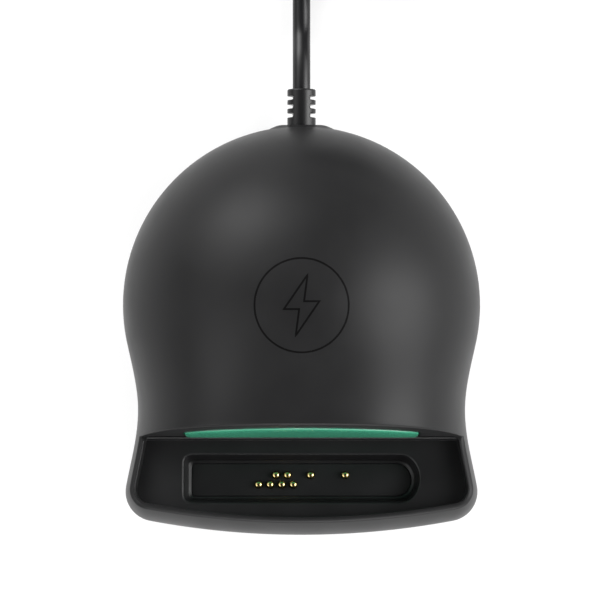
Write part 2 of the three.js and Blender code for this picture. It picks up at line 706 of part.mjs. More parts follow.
function plugBody() {
  const half = PLUG_HALF_WIDTH;
  const outline = [
    [-3.2, PLUG_Y],
    [-4.4, PLUG_Y - 3.2],
    [-half + 0.8, PLUG_Y - 6.4],
    [-half, PLUG_Y - 8],
    [-half, PLUG_Y - PLUG_LENGTH + 0.8],
    [-half + 0.8, PLUG_Y - PLUG_LENGTH],
  ];
  const mirrored = outline.map(([x, y]) => [-x, y]).reverse();
  const body = prism([...outline, ...mirrored], 0, PLUG_HEIGHT).translate([PLUG_X, 0, 0]);
  const mouth = box(PLUG_X - 6.3, PLUG_X + 6.3, 0, PLUG_Y - PLUG_LENGTH + 3, PLUG_Z - 2.55, PLUG_Z + 2.55);
  return cut(body, mouth);
}

function plugShell() {
  const near = PLUG_Y - PLUG_LENGTH - 12;
  const far = PLUG_Y - PLUG_LENGTH + 2.7;
  const outer = box(PLUG_X - 6, PLUG_X + 6, near, far, PLUG_Z - 2.25, PLUG_Z + 2.25);
  const inner = box(PLUG_X - 5.7, PLUG_X + 5.7, near - 1, far - 0.6, PLUG_Z - 1.95, PLUG_Z + 1.95);
  return cut(outer, inner);
}

function plugTongue() {
  const near = PLUG_Y - PLUG_LENGTH - 11.4;
  const far = PLUG_Y - PLUG_LENGTH + 1.8;
  return box(PLUG_X - 5.4, PLUG_X + 5.4, near, far, PLUG_Z - 0.1, PLUG_Z + 1.65);
}

// ---- assembly ----
const materials = {
  softTouch: { color: 0x34363b, roughness: 0.55, metalness: 0 },
  satinBlack: { color: 0x1c1d20, roughness: 0.45, metalness: 0 },
  blackNylon: { color: 0x141416, roughness: 0.6, metalness: 0 },
  greenLens: { color: 0x2f9068, roughness: 0.15, metalness: 0 },
  gold: { color: 0xd8b15a, roughness: 0.25, metalness: 1 },
  steel: { color: 0xa9adb2, roughness: 0.35, metalness: 1 },
  boardGreen: { color: 0x1d5b3c, roughness: 0.5, metalness: 0 },
  ledWhite: { color: 0xe8efe6, roughness: 0.3, metalness: 0 },
  rubber: { color: 0x18181a, roughness: 0.9, metalness: 0 },
  cordJacket: { color: 0x232427, roughness: 0.6, metalness: 0 },
};

const group = new THREE.Group();
group.name = "charging_dock";
const dock = new THREE.Group();
dock.name = "dock";
dock.position.y = DOME_Y;
group.add(dock);
const pocket = new THREE.Group();
pocket.name = "pocket";
pocket.position.set(0, POCKET_Y, POCKET_Z);
pocket.rotation.x = -LEAN;
dock.add(pocket);

function place(name, shape, material, parent = dock, x = 0, y = 0) {
  const geometry = shape.isBufferGeometry ? shape : geometryOf(shape);
  const mesh = new THREE.Mesh(geometry, new THREE.MeshStandardMaterial({ ...materials[material] }));
  mesh.name = name;
  mesh.position.set(x, y, 0);
  parent.add(mesh);
}

place("top_shell", topShell(), "softTouch");
place("base_plate", basePlate(), "blackNylon");
place("cradle_tray", cradleTray(), "satinBlack");
place("backrest_panel", backrestPanel(), "satinBlack");
place("light_window", lightWindow(), "greenLens");
place("contact_block", contactBlock(), "satinBlack");
CONTACTS.forEach(([x, y], i) => {
  place(`contact_plunger_${i + 1}`, plunger(), "gold", pocket, x, y);
  place(`contact_spring_${i + 1}`, spring(), "steel", pocket, x, y);
  place(`contact_barrel_${i + 1}`, barrel(), "gold", pocket, x, y);
});
place("contact_board", contactBoard(), "boardGreen");

[-1, 1].forEach((side, i) => {
  const shank = rod(0, 0, 1, EAR_BOTTOM - 0.5, -POCKET_DEPTH - 2.5);
  const head = rod(0, 0, 2, EAR_BOTTOM - 1.6, EAR_BOTTOM - PLAY);
  place(`block_screw_${i + 1}`, shank.add(head), "steel", pocket, side * EAR_X, WELL_Y);
});

const LED_BOARD_NEAR = 5.6;
place("led_board", inPocket(box(-20, 20, LED_BOARD_NEAR, LED_BOARD_NEAR + 1.2, 3, 15)), "boardGreen");
[-13, 0, 13].forEach((x, i) => {
  const led = box(x - 1.4, x + 1.4, LED_BOARD_NEAR - 1.5, LED_BOARD_NEAR - 0.1, 7.5, 10.3);
  place(`window_led_${i + 1}`, inPocket(led), "ledWhite");
});

place("main_board", mainBoard(), "boardGreen");
place("controller_chip", box(-5, 5, -4, 6, BOARD_Z + 1.7, BOARD_Z + 3), "satinBlack");
place("cord_header", box(-5, 5, 18, 25.6, 4.4, BOARD_Z - PLAY), "blackNylon");
place("ballast_plate", box(-13, 13, -21, 15, PLATE_TOP + PLAY, 6.8), "steel");
const ribbon = [
  [-12.4, 8.7],
  [-12.4, 9.1],
  [-21.5, 9.1],
  [-33.1, 6.9],
  [-33.1, 6.3],
  [-21.5, 8.5],
];
const ribbonShape = new THREE.ExtrudeGeometry(planShape(ribbon), { depth: 8, bevelEnabled: false });
ribbonShape.applyMatrix4(new THREE.Matrix4().set(0, 0, 1, 2, 1, 0, 0, 0, 0, 1, 0, 0, 0, 0, 0, 1));
place("contact_ribbon", ribbonShape, "boardGreen");

POSTS.forEach(([x, y], i) => {
  const shank = rod(0, 0, 1, SKIRT_Z + 1, 14);
  const head = rod(0, 0, 2.1, SKIRT_Z + 0.3, SKIRT_Z + 1.4);
  place(`base_screw_${i + 1}`, shank.add(head), "steel", dock, x, y);
});
BOARD_POSTS.slice(1, 3).forEach(([x, y], i) => {
  const shank = rod(0, 0, 0.8, BOARD_Z - 4, BOARD_Z + 2.5);
  const head = rod(0, 0, 1.9, BOARD_Z + 1.8, BOARD_Z + 3);
  place(`board_screw_${i + 1}`, shank.add(head), "steel", dock, x, y);
});
FEET.forEach(([x, y], i) => {
  place(`rubber_foot_${i + 1}`, rod(0, 0, 4, 0, SKIRT_Z + 0.9, 28), "rubber", dock, x, y);
});

place("strain_relief_boot", boot(), "blackNylon");
place("cord", tube(CORD_ROUTE, CORD_RADIUS, 40, 4), "cordJacket");
place("cord_coil", coilRing(), "cordJacket", dock, COIL_X, COIL_Y);
place("coil_tie", coilTie(), "blackNylon");
place("cord_tail", tube(TAIL_ROUTE, CORD_RADIUS, 24, 4), "cordJacket");
place("plug_body", plugBody(), "blackNylon");
place("plug_shell", plugShell(), "steel");
place("plug_tongue", plugTongue(), "ledWhite");

export default group;
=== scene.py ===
import json
import math

import bmesh
import bpy
from mathutils import Matrix, Vector


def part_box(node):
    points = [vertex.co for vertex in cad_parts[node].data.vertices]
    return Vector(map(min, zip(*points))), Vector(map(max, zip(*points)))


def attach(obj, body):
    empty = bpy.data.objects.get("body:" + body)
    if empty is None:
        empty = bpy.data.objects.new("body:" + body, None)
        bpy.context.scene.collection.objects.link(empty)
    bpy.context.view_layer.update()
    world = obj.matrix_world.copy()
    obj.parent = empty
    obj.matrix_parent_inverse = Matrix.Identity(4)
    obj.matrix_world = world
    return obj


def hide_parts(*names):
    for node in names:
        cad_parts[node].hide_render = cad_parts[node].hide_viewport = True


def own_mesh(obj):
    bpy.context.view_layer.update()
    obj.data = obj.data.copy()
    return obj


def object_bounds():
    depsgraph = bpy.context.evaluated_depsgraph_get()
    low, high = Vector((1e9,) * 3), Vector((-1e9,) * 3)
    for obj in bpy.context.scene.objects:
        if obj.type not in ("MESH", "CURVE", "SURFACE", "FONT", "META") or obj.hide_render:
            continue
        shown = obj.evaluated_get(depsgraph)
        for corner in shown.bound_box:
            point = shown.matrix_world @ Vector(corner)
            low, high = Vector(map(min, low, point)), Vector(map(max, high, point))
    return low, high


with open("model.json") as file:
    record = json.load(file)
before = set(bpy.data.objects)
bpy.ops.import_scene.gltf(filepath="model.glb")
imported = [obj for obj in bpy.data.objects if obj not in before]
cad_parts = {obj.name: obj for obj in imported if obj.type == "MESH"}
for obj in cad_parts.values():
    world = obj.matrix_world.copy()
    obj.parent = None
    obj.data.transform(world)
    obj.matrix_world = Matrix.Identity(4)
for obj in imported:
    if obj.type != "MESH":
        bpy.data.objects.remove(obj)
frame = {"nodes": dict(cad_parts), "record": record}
CAD_BOX = [list(corner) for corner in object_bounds()]

# ---------------- sizes, in millimetres
# The dock's own frame: origin under the ball's centre, x right, y to the rear, z up.
MM = 0.001
DOME_RADIUS = 39.0
EQUATOR_Z = 8.0
SKIRT_Z = 1.0
FRONT_Y = -50.26
WALL = 1.8
PLAY = 0.3
LEAN = math.radians(9)
POCKET_Y = -28.3
POCKET_Z = 19.5
POCKET_DEPTH = 3.5
WELL_DEPTH = 3.5
WELL_HALF_LENGTH = 25.3
WELL_HALF_WIDTH = 5.05
WELL_Y = -8.6
CORD_Z = 7.0
CORD_DIAMETER = 3.9
DOCK_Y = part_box("top_shell")[0][1] / MM - FRONT_Y
SHRINK = 0.02  # keeps smooth surfaces inside the faceted solids' box

TO_ROW = Matrix.Scale(MM, 4) @ Matrix.Translation((0, DOCK_Y, 0))
POCKET_TO_ROW = TO_ROW @ Matrix.Translation((0, POCKET_Y, POCKET_Z)) @ Matrix.Rotation(-LEAN, 4, "X")


# ---------------- camera, straight above the dock
CAMERA_X = -0.33
CAMERA_Y = 1.05
CAMERA_HEIGHT = 543.0
camera_data = bpy.data.cameras.new("camera")
camera_data.sensor_width = 36
camera_data.lens = 146.6  # a long lens, so the dome hides little of its own skirt
camera_data.clip_start = 0.01
camera = bpy.data.objects.new("camera", camera_data)
bpy.context.collection.objects.link(camera)
camera.location = (CAMERA_X * MM, (DOCK_Y + CAMERA_Y) * MM, CAMERA_HEIGHT * MM)
bpy.context.scene.camera = camera


# ---------------- mesh helpers
def make_object(name, verts, faces, matrix=TO_ROW, smooth=True):
    mesh = bpy.data.meshes.new(name)
    mesh.from_pydata([matrix @ Vector(v) for v in verts], [], faces)
    mesh.validate()
    bm = bmesh.new()
    bm.from_mesh(mesh)
    bmesh.ops.remove_doubles(bm, verts=bm.verts, dist=1e-7)
    bmesh.ops.recalc_face_normals(bm, faces=bm.faces)
    bm.to_mesh(mesh)
    bm.free()
    if smooth:
        mesh.shade_smooth()
    obj = bpy.data.objects.new(name, mesh)
    bpy.context.collection.objects.link(obj)
    return obj


def ring_faces(row_count, count, closed_rows):
    faces = []
    for row in range(row_count if closed_rows else row_count - 1):
        following = (row + 1) % row_count
        for i in range(count):
            j = (i + 1) % count
            faces.append((row * count + i, row * count + j, following * count + j, following * count + i))
    return faces


def loft(name, loops, matrix=TO_ROW, closed_rows=False, smooth=True):
    """A surface through closed loops. It closes on itself, or its first and last loops are capped."""
    count = len(loops[0])
    verts = [p for loop in loops for p in loop]
    faces = ring_faces(len(loops), count, closed_rows)
    if not closed_rows:
        faces.append(tuple(range(count)))
        faces.append(tuple(range((len(loops) - 1) * count, len(loops) * count)))
    return make_object(name, verts, faces, matrix, smooth)


def quarter(steps):
    """The angles of a quarter turn, both ends included."""
    return [i / steps * math.pi / 2 for i in range(steps + 1)]


def spun(name, profile, sides, matrix, centre=(0, 0)):
    """A turned piece from (radius, z) pairs that start and end on the axis."""
    angles = [2 * math.pi * i / sides for i in range(sides)]
    loops = [
        [(centre[0] + radius * math.cos(a), centre[1] + radius * math.sin(a), z) for a in angles]
        for radius, z in profile[1:-1]
    ]
    return loft(name, loops, matrix)


def apply_modifiers(obj):
    depsgraph = bpy.context.evaluated_depsgraph_get()
    mesh = bpy.data.meshes.new_from_object(obj.evaluated_get(depsgraph))
    obj.modifiers.clear()
    obj.data = mesh


def boolean(obj, cutter, operation="DIFFERENCE"):
    modifier = obj.modifiers.new("cut", "BOOLEAN")
    modifier.operation = operation
    modifier.solver = "EXACT"
    modifier.object = cutter
    apply_modifiers(obj)
    bpy.data.objects.remove(cutter)


def sharpen(obj, degrees=40):
    """Smooth shading that keeps edges sharper than this angle."""
    mesh = obj.data
    mesh.shade_smooth()
    mesh.set_sharp_from_angle(angle=math.radians(degrees))


PIECE_SLOTS = {}


def dress(obj, body, slot, *nodes):
    """Rides the piece on a body, in a material slot, in place of the CAD nodes it stands for."""
    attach(obj, body)
    if nodes:
        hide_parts(*nodes)
    PIECE_SLOTS[obj.name] = slot


# ---------------- the lead and its coil
COIL_RADIUS = 23.0
COIL_ROWS = 3
COIL_LAYERS = 4
COIL_LIFT = 0.7
CORD_RADIUS = CORD_DIAMETER / 2
OUTER_TURN = COIL_RADIUS + CORD_DIAMETER
COIL_X = OUTER_TURN
COIL_Y = 97.5
PLUG_X = 64.6
PLUG_Y = 105.5
PLUG_LENGTH = 24.0
PLUG_HEIGHT = 8.0
LOW = COIL_LIFT + CORD_RADIUS


def spline_points(points, per_span):
    """Evenly spread points of a smooth curve through the given ones."""
    result = []
    count = len(points)
    for i in range(count - 1):
        p0, p1, p2, p3 = (Vector(points[min(max(k, 0), count - 1)]) for k in (i - 1, i, i + 1, i + 2))
        for step in range(per_span):
            t = step / per_span
            bend = (2 * p0 - 5 * p1 + 4 * p2 - p3) * t * t + (3 * p1 - p0 - 3 * p2 + p3) * t**3
            result.append(0.5 * (2 * p1 + (p2 - p0) * t + bend))
    result.append(Vector(points[-1]))
    return result


LEAD_OUT = [
    (0, 36, CORD_Z),
    (0, 42, CORD_Z),
    (0, 48, CORD_Z),
    (0, 54, 5.9),
    (0, 60, 3.1),
    (0, 67, LOW),
    (0, 74, LOW),
    (0, 84, LOW),
]
COIL_TOP = LOW + (COIL_LAYERS - 1) * CORD_DIAMETER
LEAD_TAIL = [
    (COIL_X + 9, COIL_Y + OUTER_TURN, COIL_TOP - 0.6),
    (COIL_X + 16.6, COIL_Y + OUTER_TURN, 11.5),
    (COIL_X + 26, COIL_Y + OUTER_TURN - 1.2, 7.2),
    (COIL_X + 33.6, COIL_Y + OUTER_TURN - 5.4, 4.2),
    (PLUG_X, PLUG_Y + 6.5, 3.4),
    (PLUG_X, PLUG_Y + 0.3, PLUG_HEIGHT / 2),
]


def coil_points():
    """Turns clockwise from the coil's left side, layer on layer, and a quarter turn more to leave it."""
    per_turn = 48
    radii = [OUTER_TURN - CORD_DIAMETER * k for k in range(COIL_ROWS)]
    stack = []
    for layer in range(COIL_LAYERS):
        row = radii if layer % 2 == 0 else radii[::-1]
        stack += [(r, layer) for r in row]
    del stack[-COIL_ROWS]
    points = []
    for i in range(len(stack) * per_turn + per_turn // 4 + 1):
        turn, part = divmod(i, per_turn)
        here = stack[min(turn, len(stack) - 1)]
        after = stack[min(turn + 1, len(stack) - 1)]
        change = max(0.0, (part / per_turn - 0.7) / 0.3)
        ease = change * change * (3 - 2 * change)
        radius = here[0] + (after[0] - here[0]) * ease
        z = LOW + (here[1] + (after[1] - here[1]) * ease) * CORD_DIAMETER
        angle = math.pi - 2 * math.pi * i / per_turn
        points.append(Vector((COIL_X + radius * math.cos(angle), COIL_Y + radius * math.sin(angle), z)))
    return points


def tube_curve(name, points, radius):
    curve = bpy.data.curves.new(name, "CURVE")
    curve.dimensions = "3D"
    curve.bevel_depth = radius * MM
    curve.bevel_resolution = 6
    curve.use_fill_caps = True
    spline = curve.splines.new("POLY")
    spline.points.add(len(points) - 1)
    for point, place in zip(spline.points, points):
        point.co = (*(TO_ROW @ Vector(place)), 1)
    spline.use_smooth = True
    obj = bpy.data.objects.new(name, curve)
    bpy.context.collection.objects.link(obj)
    return obj


coil = coil_points()
lead_line = (
    spline_points(LEAD_OUT + [tuple(coil[0])], 6)[:-1]
    + coil[:-1]
    + spline_points([tuple(coil[-1])] + LEAD_TAIL, 6)
)
lead = tube_curve("lead", lead_line, CORD_RADIUS)


# ---------------- the housing's outer form
NECK_START_Y = -8.5
NECK_Y = -23.0
NECK_HALF_WIDTH = 35.7
FOOT_Y = -39.5
FOOT_HALF_WIDTH = 38.3
FOOT_FLARE = 0.19
FOOT_FRONT_RADIUS = 180
CROWN_REACH = 25.0
CROWN_POWER = 1.4
HOOD_POWER = 2.7
TUCK = 0.6


def hermite(t, start, end, start_slope, end_slope):
    t2, t3 = t * t, t * t * t
    head = (2 * t3 - 3 * t2 + 1) * start + (t3 - 2 * t2 + t) * start_slope
    return head + (3 * t2 - 2 * t3) * end + (t3 - t2) * end_slope


def half_width(y):
    if y >= NECK_START_Y:
        return math.sqrt(max(0, DOME_RADIUS**2 - y**2))
    if y >= NECK_Y:
        start = half_width(NECK_START_Y)
        run = NECK_START_Y - NECK_Y
        return hermite((NECK_START_Y - y) / run, start, NECK_HALF_WIDTH, NECK_START_Y / start * run, 0)
    run = NECK_Y - FOOT_Y
    return hermite((NECK_Y - y) / run, NECK_HALF_WIDTH, FOOT_HALF_WIDTH, 0, FOOT_FLARE * run)


def crown(y):
    share = min(1, y / -CROWN_REACH)
    dip = CROWN_REACH**2 / DOME_RADIUS / (2 * CROWN_POWER + 2) * (1 - (1 - share**2) ** (CROWN_POWER + 1))
    return DOME_RADIUS - dip


def smoothstep(t):
    t = min(1, max(0, t))
    return t * t * (3 - 2 * t)


def hood_height(x, y):
    if y >= 0:
        return EQUATOR_Z + math.sqrt(max(0, DOME_RADIUS**2 - x**2 - y**2))
    power = 2 + (HOOD_POWER - 2) * smoothstep(y / POCKET_Y)
    across = min(1, abs(x) / half_width(y))
    return EQUATOR_Z + crown(y) * math.sqrt(1 - across**power)


def visor_point(x):
    y = POCKET_Y
    for _ in range(20):
        y = POCKET_Y + (hood_height(x, y) - POCKET_Z) * math.tan(LEAN)
    return Vector((x, y, hood_height(x, y)))


def find_corner_x():
    low, high = 0, half_width(POCKET_Y)
    for _ in range(40):
        middle = (low + high) / 2
        if hood_height(middle, POCKET_Y) > POCKET_Z:
            low = middle
        else:
            high = middle
    return low


CORNER_X = find_corner_x()
FRONT_STEPS = (12, 12, 26)  # points along the side, round the corner and along the front


def front_outline(rear, rear_flare, side, flare, front_y, front_radius):
    """Plan points of a front outline's right half, from the rear corner to the middle of the front."""
    side_steps, corner_steps, front_steps = FRONT_STEPS
    points = []
    run = rear[1] - side[1]
    for i in range(side_steps):
        t = i / side_steps
        points.append((hermite(t, rear[0], side[0], rear_flare * run, flare * run), rear[1] - run * t))
    inward = Vector((-1, -flare)).normalized()
    side_point = Vector(side)
    front_centre = Vector((0, front_y + front_radius))
    across = side_point - front_centre
    radius = (front_radius**2 - across.length_squared) / (2 * (inward.dot(across) + front_radius))
    corner = side_point + inward * radius
    start = math.atan2(-inward.y, -inward.x)
    end = math.atan2(corner.y - front_centre.y, corner.x - front_centre.x)
    for i in range(corner_steps):
        angle = start + (end - start) * i / corner_steps
        points.append((corner.x + radius * math.cos(angle), corner.y + radius * math.sin(angle)))
    for i in range(front_steps + 1):
        angle = end + (-math.pi / 2 - end) * i / front_steps
        x = 0 if i == front_steps else front_radius * math.cos(angle)
        points.append((x, front_centre.y + front_radius * math.sin(angle)))
    return points


def foot_outline():
    flare = (half_width(POCKET_Y - 0.1) - half_width(POCKET_Y)) / 0.1
    rear = (half_width(POCKET_Y), POCKET_Y)
    side = (FOOT_HALF_WIDTH, FOOT_Y)
    return front_outline(rear, flare, side, FOOT_FLARE, FRONT_Y, FOOT_FRONT_RADIUS)


RIM_REAR = (CORNER_X, POCKET_Y)
RIM_SIDE = (36.5, -38.6)
RIM_FRONT_Y = -46.15
RIM_FRONT_RADIUS = 190
REAR_FLARE, SIDE_FLARE = 0.12, 0.16
RIM_LEDGE = 0.8  # width of the shell's rounded rim beside the tray
RIM_DROP = 0.7  # how far down the skirt that rounding reaches
TRAY_INSET = RIM_LEDGE + 0.02
TRAY_REAR_GAP = -0.1
TRAY_WALL = 0.22
REAR_RIM = 2.0  # the rear rim's width, as a multiple of the others


def tray_outline(inset):
    """The tray's plan, a distance inside its own edge. Its rear rim is thinner than the rest."""
    depth = TRAY_REAR_GAP + REAR_RIM * min(inset, TRAY_WALL) + max(0, inset - TRAY_WALL)
    inset += TRAY_INSET
    rear = (CORNER_X - inset, POCKET_Y - depth)
    side = (RIM_SIDE[0] - inset, RIM_SIDE[1])
    return front_outline(rear, REAR_FLARE, side, SIDE_FLARE, RIM_FRONT_Y + inset, RIM_FRONT_RADIUS)


def rim_outline():
    return front_outline(RIM_REAR, REAR_FLARE, RIM_SIDE, SIDE_FLARE, RIM_FRONT_Y, RIM_FRONT_RADIUS)


# ---------------- housing shell
HOOD_COLUMNS = 72
SKIN_ROWS = 40
SKIRT_ROWS = 6
LIP = 0.55  # rounding of the shell's free edges
BOSS_Y = 39.1
BOSS_HALF_WIDTH = 4.0
BOSS_TOP = 11.8
BOSS_SHOULDER = (0.12, 0.75)  # how fast it falls away beside and above
BOSS_ROOT = 0.3  # softness of its root
BOSS_REACH = 0.105  # the share of the equator that its columns take
SKIN_POINTS = 90
POCKET_MIDDLE = Vector((0, -36, 24))


def resample(points, count):
    """Evenly spaced points along a line, both ends included."""
    lengths = [0.0]
    for a, b in zip(points, points[1:]):
        lengths.append(lengths[-1] + (b - a).length)
    result = []
    k = 0
    for i in range(count + 1):
        want = lengths[-1] * i / count
        while k < len(points) - 2 and lengths[k + 1] < want:
            k += 1
        span = lengths[k + 1] - lengths[k]
        result.append(points[k].lerp(points[k + 1], (want - lengths[k]) / span if span else 0))
    return result


def equator_points(fractions):
    """Points of the equator's outline from the rear to the pocket's corner, at fractions of its length."""
    outline = []
    sweep = math.pi / 2 - math.asin(NECK_START_Y / DOME_RADIUS)
    radius = DOME_RADIUS - SHRINK
    for i in range(400):
        angle = math.pi / 2 - i / 400 * sweep
        outline.append(Vector((radius * math.cos(angle), radius * math.sin(angle), 0)))
    for i in range(201):
        y = NECK_START_Y + (POCKET_Y - NECK_START_Y) * i / 200
        outline.append(Vector((half_width(y) - SHRINK, y, 0)))
    fine = resample(outline, 2000)
    return [fine[round(fraction * 2000)] for fraction in fractions]


def hood_column(start, end):
    column = []
    for row in range(SKIN_ROWS + 1):
        share = math.sin(row / SKIN_ROWS * math.pi / 2)
        x = start.x + (end.x - start.x) * share
        y = start.y + (end.y - start.y) * share
        z = EQUATOR_Z if row == SKIN_ROWS else hood_height(x, y) if row else start.z
        column.append(Vector((x, y, z)))
    return column


def skirt_column(rim, foot):
    column = []
    top = POCKET_Z + (POCKET_Y - rim[1]) * math.tan(LEAN)
    for row in range(SKIN_ROWS + 1):
        z = top + (EQUATOR_Z - top) * row / SKIN_ROWS
        share = ((z - EQUATOR_Z) / (top - EQUATOR_Z)) ** 2
        column.append(Vector((foot[0] + (rim[0] - foot[0]) * share, foot[1] + (rim[1] - foot[1]) * share, z)))
    return column


def outer_columns():
    columns = []
    near = HOOD_COLUMNS // 3  # columns over the cable boss, which stand closer together
    rest = HOOD_COLUMNS - near
    fractions = [BOSS_REACH * i / near for i in range(near)]
    fractions += [BOSS_REACH + (1 - BOSS_REACH) * i / rest for i in range(rest + 1)]
    for fraction, point in zip(fractions, equator_points(fractions)):
        x = CORNER_X * math.sin(fraction * math.pi / 2)
        columns.append(hood_column(visor_point(x), point))
    for rim, foot in list(zip(rim_outline(), foot_outline()))[1:]:
        columns.append(skirt_column(rim, foot))
    last = len(columns) - 1
    for i, column in enumerate(columns):
        along = columns[min(last, i + 1)][SKIN_ROWS] - columns[max(0, i - 1)][SKIN_ROWS]
        along.z = 0
        if i in (0, last):
            along = Vector((1 if i == 0 else -1, 0, 0))
        inward = Vector((along.y, -along.x, 0)).normalized()
        base = column[SKIN_ROWS].copy()
        for row in range(1, SKIRT_ROWS + 1):
            share = row / SKIRT_ROWS
            low = base + inward * TUCK * share**2
            low.z = EQUATOR_Z + (SKIRT_Z - EQUATOR_Z) * share
            column.append(low)
    left = [[Vector((-p.x, p.y, p.z)) for p in column] for column in columns[1:-1][::-1]]
    return columns + left


def rounded(a, corner, b, steps):
    """Points of a rounded edge from a to b, drawn towards the corner."""
    ts = [i / steps for i in range(steps + 1)]
    return [a * (1 - t) ** 2 + corner * 2 * t * (1 - t) + b * t**2 for t in ts]


def with_boss(point):
    """Pushes a point of the skin out to the cable boss, with a soft root."""
    if point.y < 30 or point.z > 20:
        return point
    aside = max(0, abs(point.x) - BOSS_HALF_WIDTH)
    above = max(0, point.z - BOSS_TOP)
    boss = BOSS_Y - BOSS_SHOULDER[0] * aside**2 - BOSS_SHOULDER[1] * above**2
    gap = boss - point.y
    lift = 0.5 * (gap + math.sqrt(gap**2 + BOSS_ROOT**2)) - SHRINK
    return Vector((point.x, point.y + max(0, min(lift, gap + 0.2)), point.z))


OUTER_COLUMNS = outer_columns()


def build_housing():
    """The shell: each column gives a closed section over the lip, down the skin and back up inside."""
    outer = OUTER_COLUMNS
    count = len(outer)
    rows = len(outer[0])
    visor = Vector((0, -math.cos(LEAN), math.sin(LEAN)))
    rim = Vector((0, math.sin(LEAN), math.cos(LEAN)))
    inner_rows = (rows - 4, SKIN_ROWS, SKIN_ROWS * 3 // 4, SKIN_ROWS // 2, SKIN_ROWS // 4, SKIN_ROWS // 8)
    sections = []
    for i, column in enumerate(outer):
        before, after = outer[(i - 1) % count], outer[(i + 1) % count]
        top, foot = column[0], column[-1]

        def inside(row):
            down = column[min(row + 1, rows - 1)] - column[max(row - 1, 0)]
            normal = (after[row] - before[row]).cross(down)
            if row == rows - 1:
                normal.z = 0
            return column[row] - normal.normalized() * WALL

        on_hood = i <= HOOD_COLUMNS or i >= count - HOOD_COLUMNS
        plane = visor if on_hood else rim
        if i in (HOOD_COLUMNS, count - HOOD_COLUMNS):
            inward = Vector((-math.copysign(1, top.x), 0, 0))
        else:
            inward = (after[0] - before[0]).cross(plane).normalized()
            if inward.dot(POCKET_MIDDLE - top) < 0:
                inward = -inward
        far = top + inward * (WALL if on_hood else RIM_LEDGE)
        down = (column[2] - top).normalized()
        edge = LIP if on_hood else RIM_DROP
        crest = top + inward * (LIP if on_hood else RIM_LEDGE - 0.04)
        shoulder = top + down * edge
        aim = top if on_hood else top.lerp((crest + shoulder) / 2, 0.55)
        lip = rounded(crest, aim, shoulder, 7)
        foot_in = (inside(rows - 1) - foot).normalized()
        up = (column[-2] - foot).normalized()
        bottom = rounded(foot + up * LIP, foot, foot + foot_in * LIP, 4)
        skin = [p for p in column if (p - top).length > edge * 1.2 and p.z > SKIRT_Z + LIP * 1.2]
        skin = [with_boss(p) for p in resample([lip[-1]] + skin + [bottom[0]], SKIN_POINTS)]
        bottom = [with_boss(p) for p in bottom]
        section = [far - plane * 0.6, far] + lip + skin[1:-1] + bottom + [inside(rows - 1)]
        section += [inside(row) for row in inner_rows]
        sections.append(section)
    loops = [[section[row] for section in sections] for row in range(len(sections[0]))]
    return loft("housing", loops, closed_rows=True)


housing = build_housing()
dress(housing, "dock", "soft_touch", "top_shell")


# ---------------- tray, in the pocket's frame
FLOOR_Z = -POCKET_DEPTH
BLOCK_TOP = FLOOR_Z - WELL_DEPTH
TRAY_FLOOR = 1.8
WELL_FOOT = BLOCK_TOP - 0.4
WELL_DRAFT = 1.5
WELL_CORNER = 1.65
WELL_ROUND = 4.1
WELL_BRIM = 0.5  # rounding of the well's mouth
WELL_FILLET = 0.95  # rounding at the foot of its walls
FLOOR_FILLET = 0.1
RIM_OUTER = 0.02
RIM_INNER = 0.2
RIM_FALL = 0.36  # how far the rim's inner rounding falls
REAR_STEPS = 30


def tray_loop(inset, z):
    """A closed outline from the middle of the rear, clockwise from above, a distance inside the tray."""
    half = [(x, (y - POCKET_Y) / math.cos(LEAN)) for x, y in tray_outline(inset)]
    corner = half[0]
    rear = [(corner[0] * i / REAR_STEPS, corner[1]) for i in range(REAR_STEPS)]
    right = rear + half
    left = [(-x, y) for x, y in right[1:-1][::-1]]
    return [(x, y, z) for x, y in right + left]


TRAY_COUNT = len(tray_loop(0, 0))


def well_half(shrink, side):
    """Half of the well's outline, from the middle of its rear to the middle of its front."""
    length, width = WELL_HALF_LENGTH - shrink, WELL_HALF_WIDTH - shrink
    if side > 0:
        reach = max(0.5, WELL_ROUND - shrink * 0.6)
        arc = [
            (length - reach + reach * math.cos(a), width * math.sin(a))
            for a in (math.pi / 2 - i / 48 * math.pi for i in range(49))
        ]
        points = [(0, width)] + arc + [(0, -width)]
    else:
        corner = max(0.5, WELL_CORNER - shrink * 0.7)
        top = [
            (-length + corner - corner * math.sin(a), width - corner + corner * math.cos(a))
            for a in quarter(20)
        ]
        points = [(0, width)] + top + [(x, -y) for x, y in top[::-1]] + [(0, -width)]
    return resample([Vector((x, y, 0)) for x, y in points], TRAY_COUNT // 2)


def well_loop(shrink, z):
    right = well_half(shrink, 1)
    left = well_half(shrink, -1)[1:-1][::-1]
    return [(p.x, p.y + WELL_Y, z) for p in right + left]


def blend_loops(a, b, share):
    return [tuple(p + (q - p) * share for p, q in zip(here, there)) for here, there in zip(a, b)]


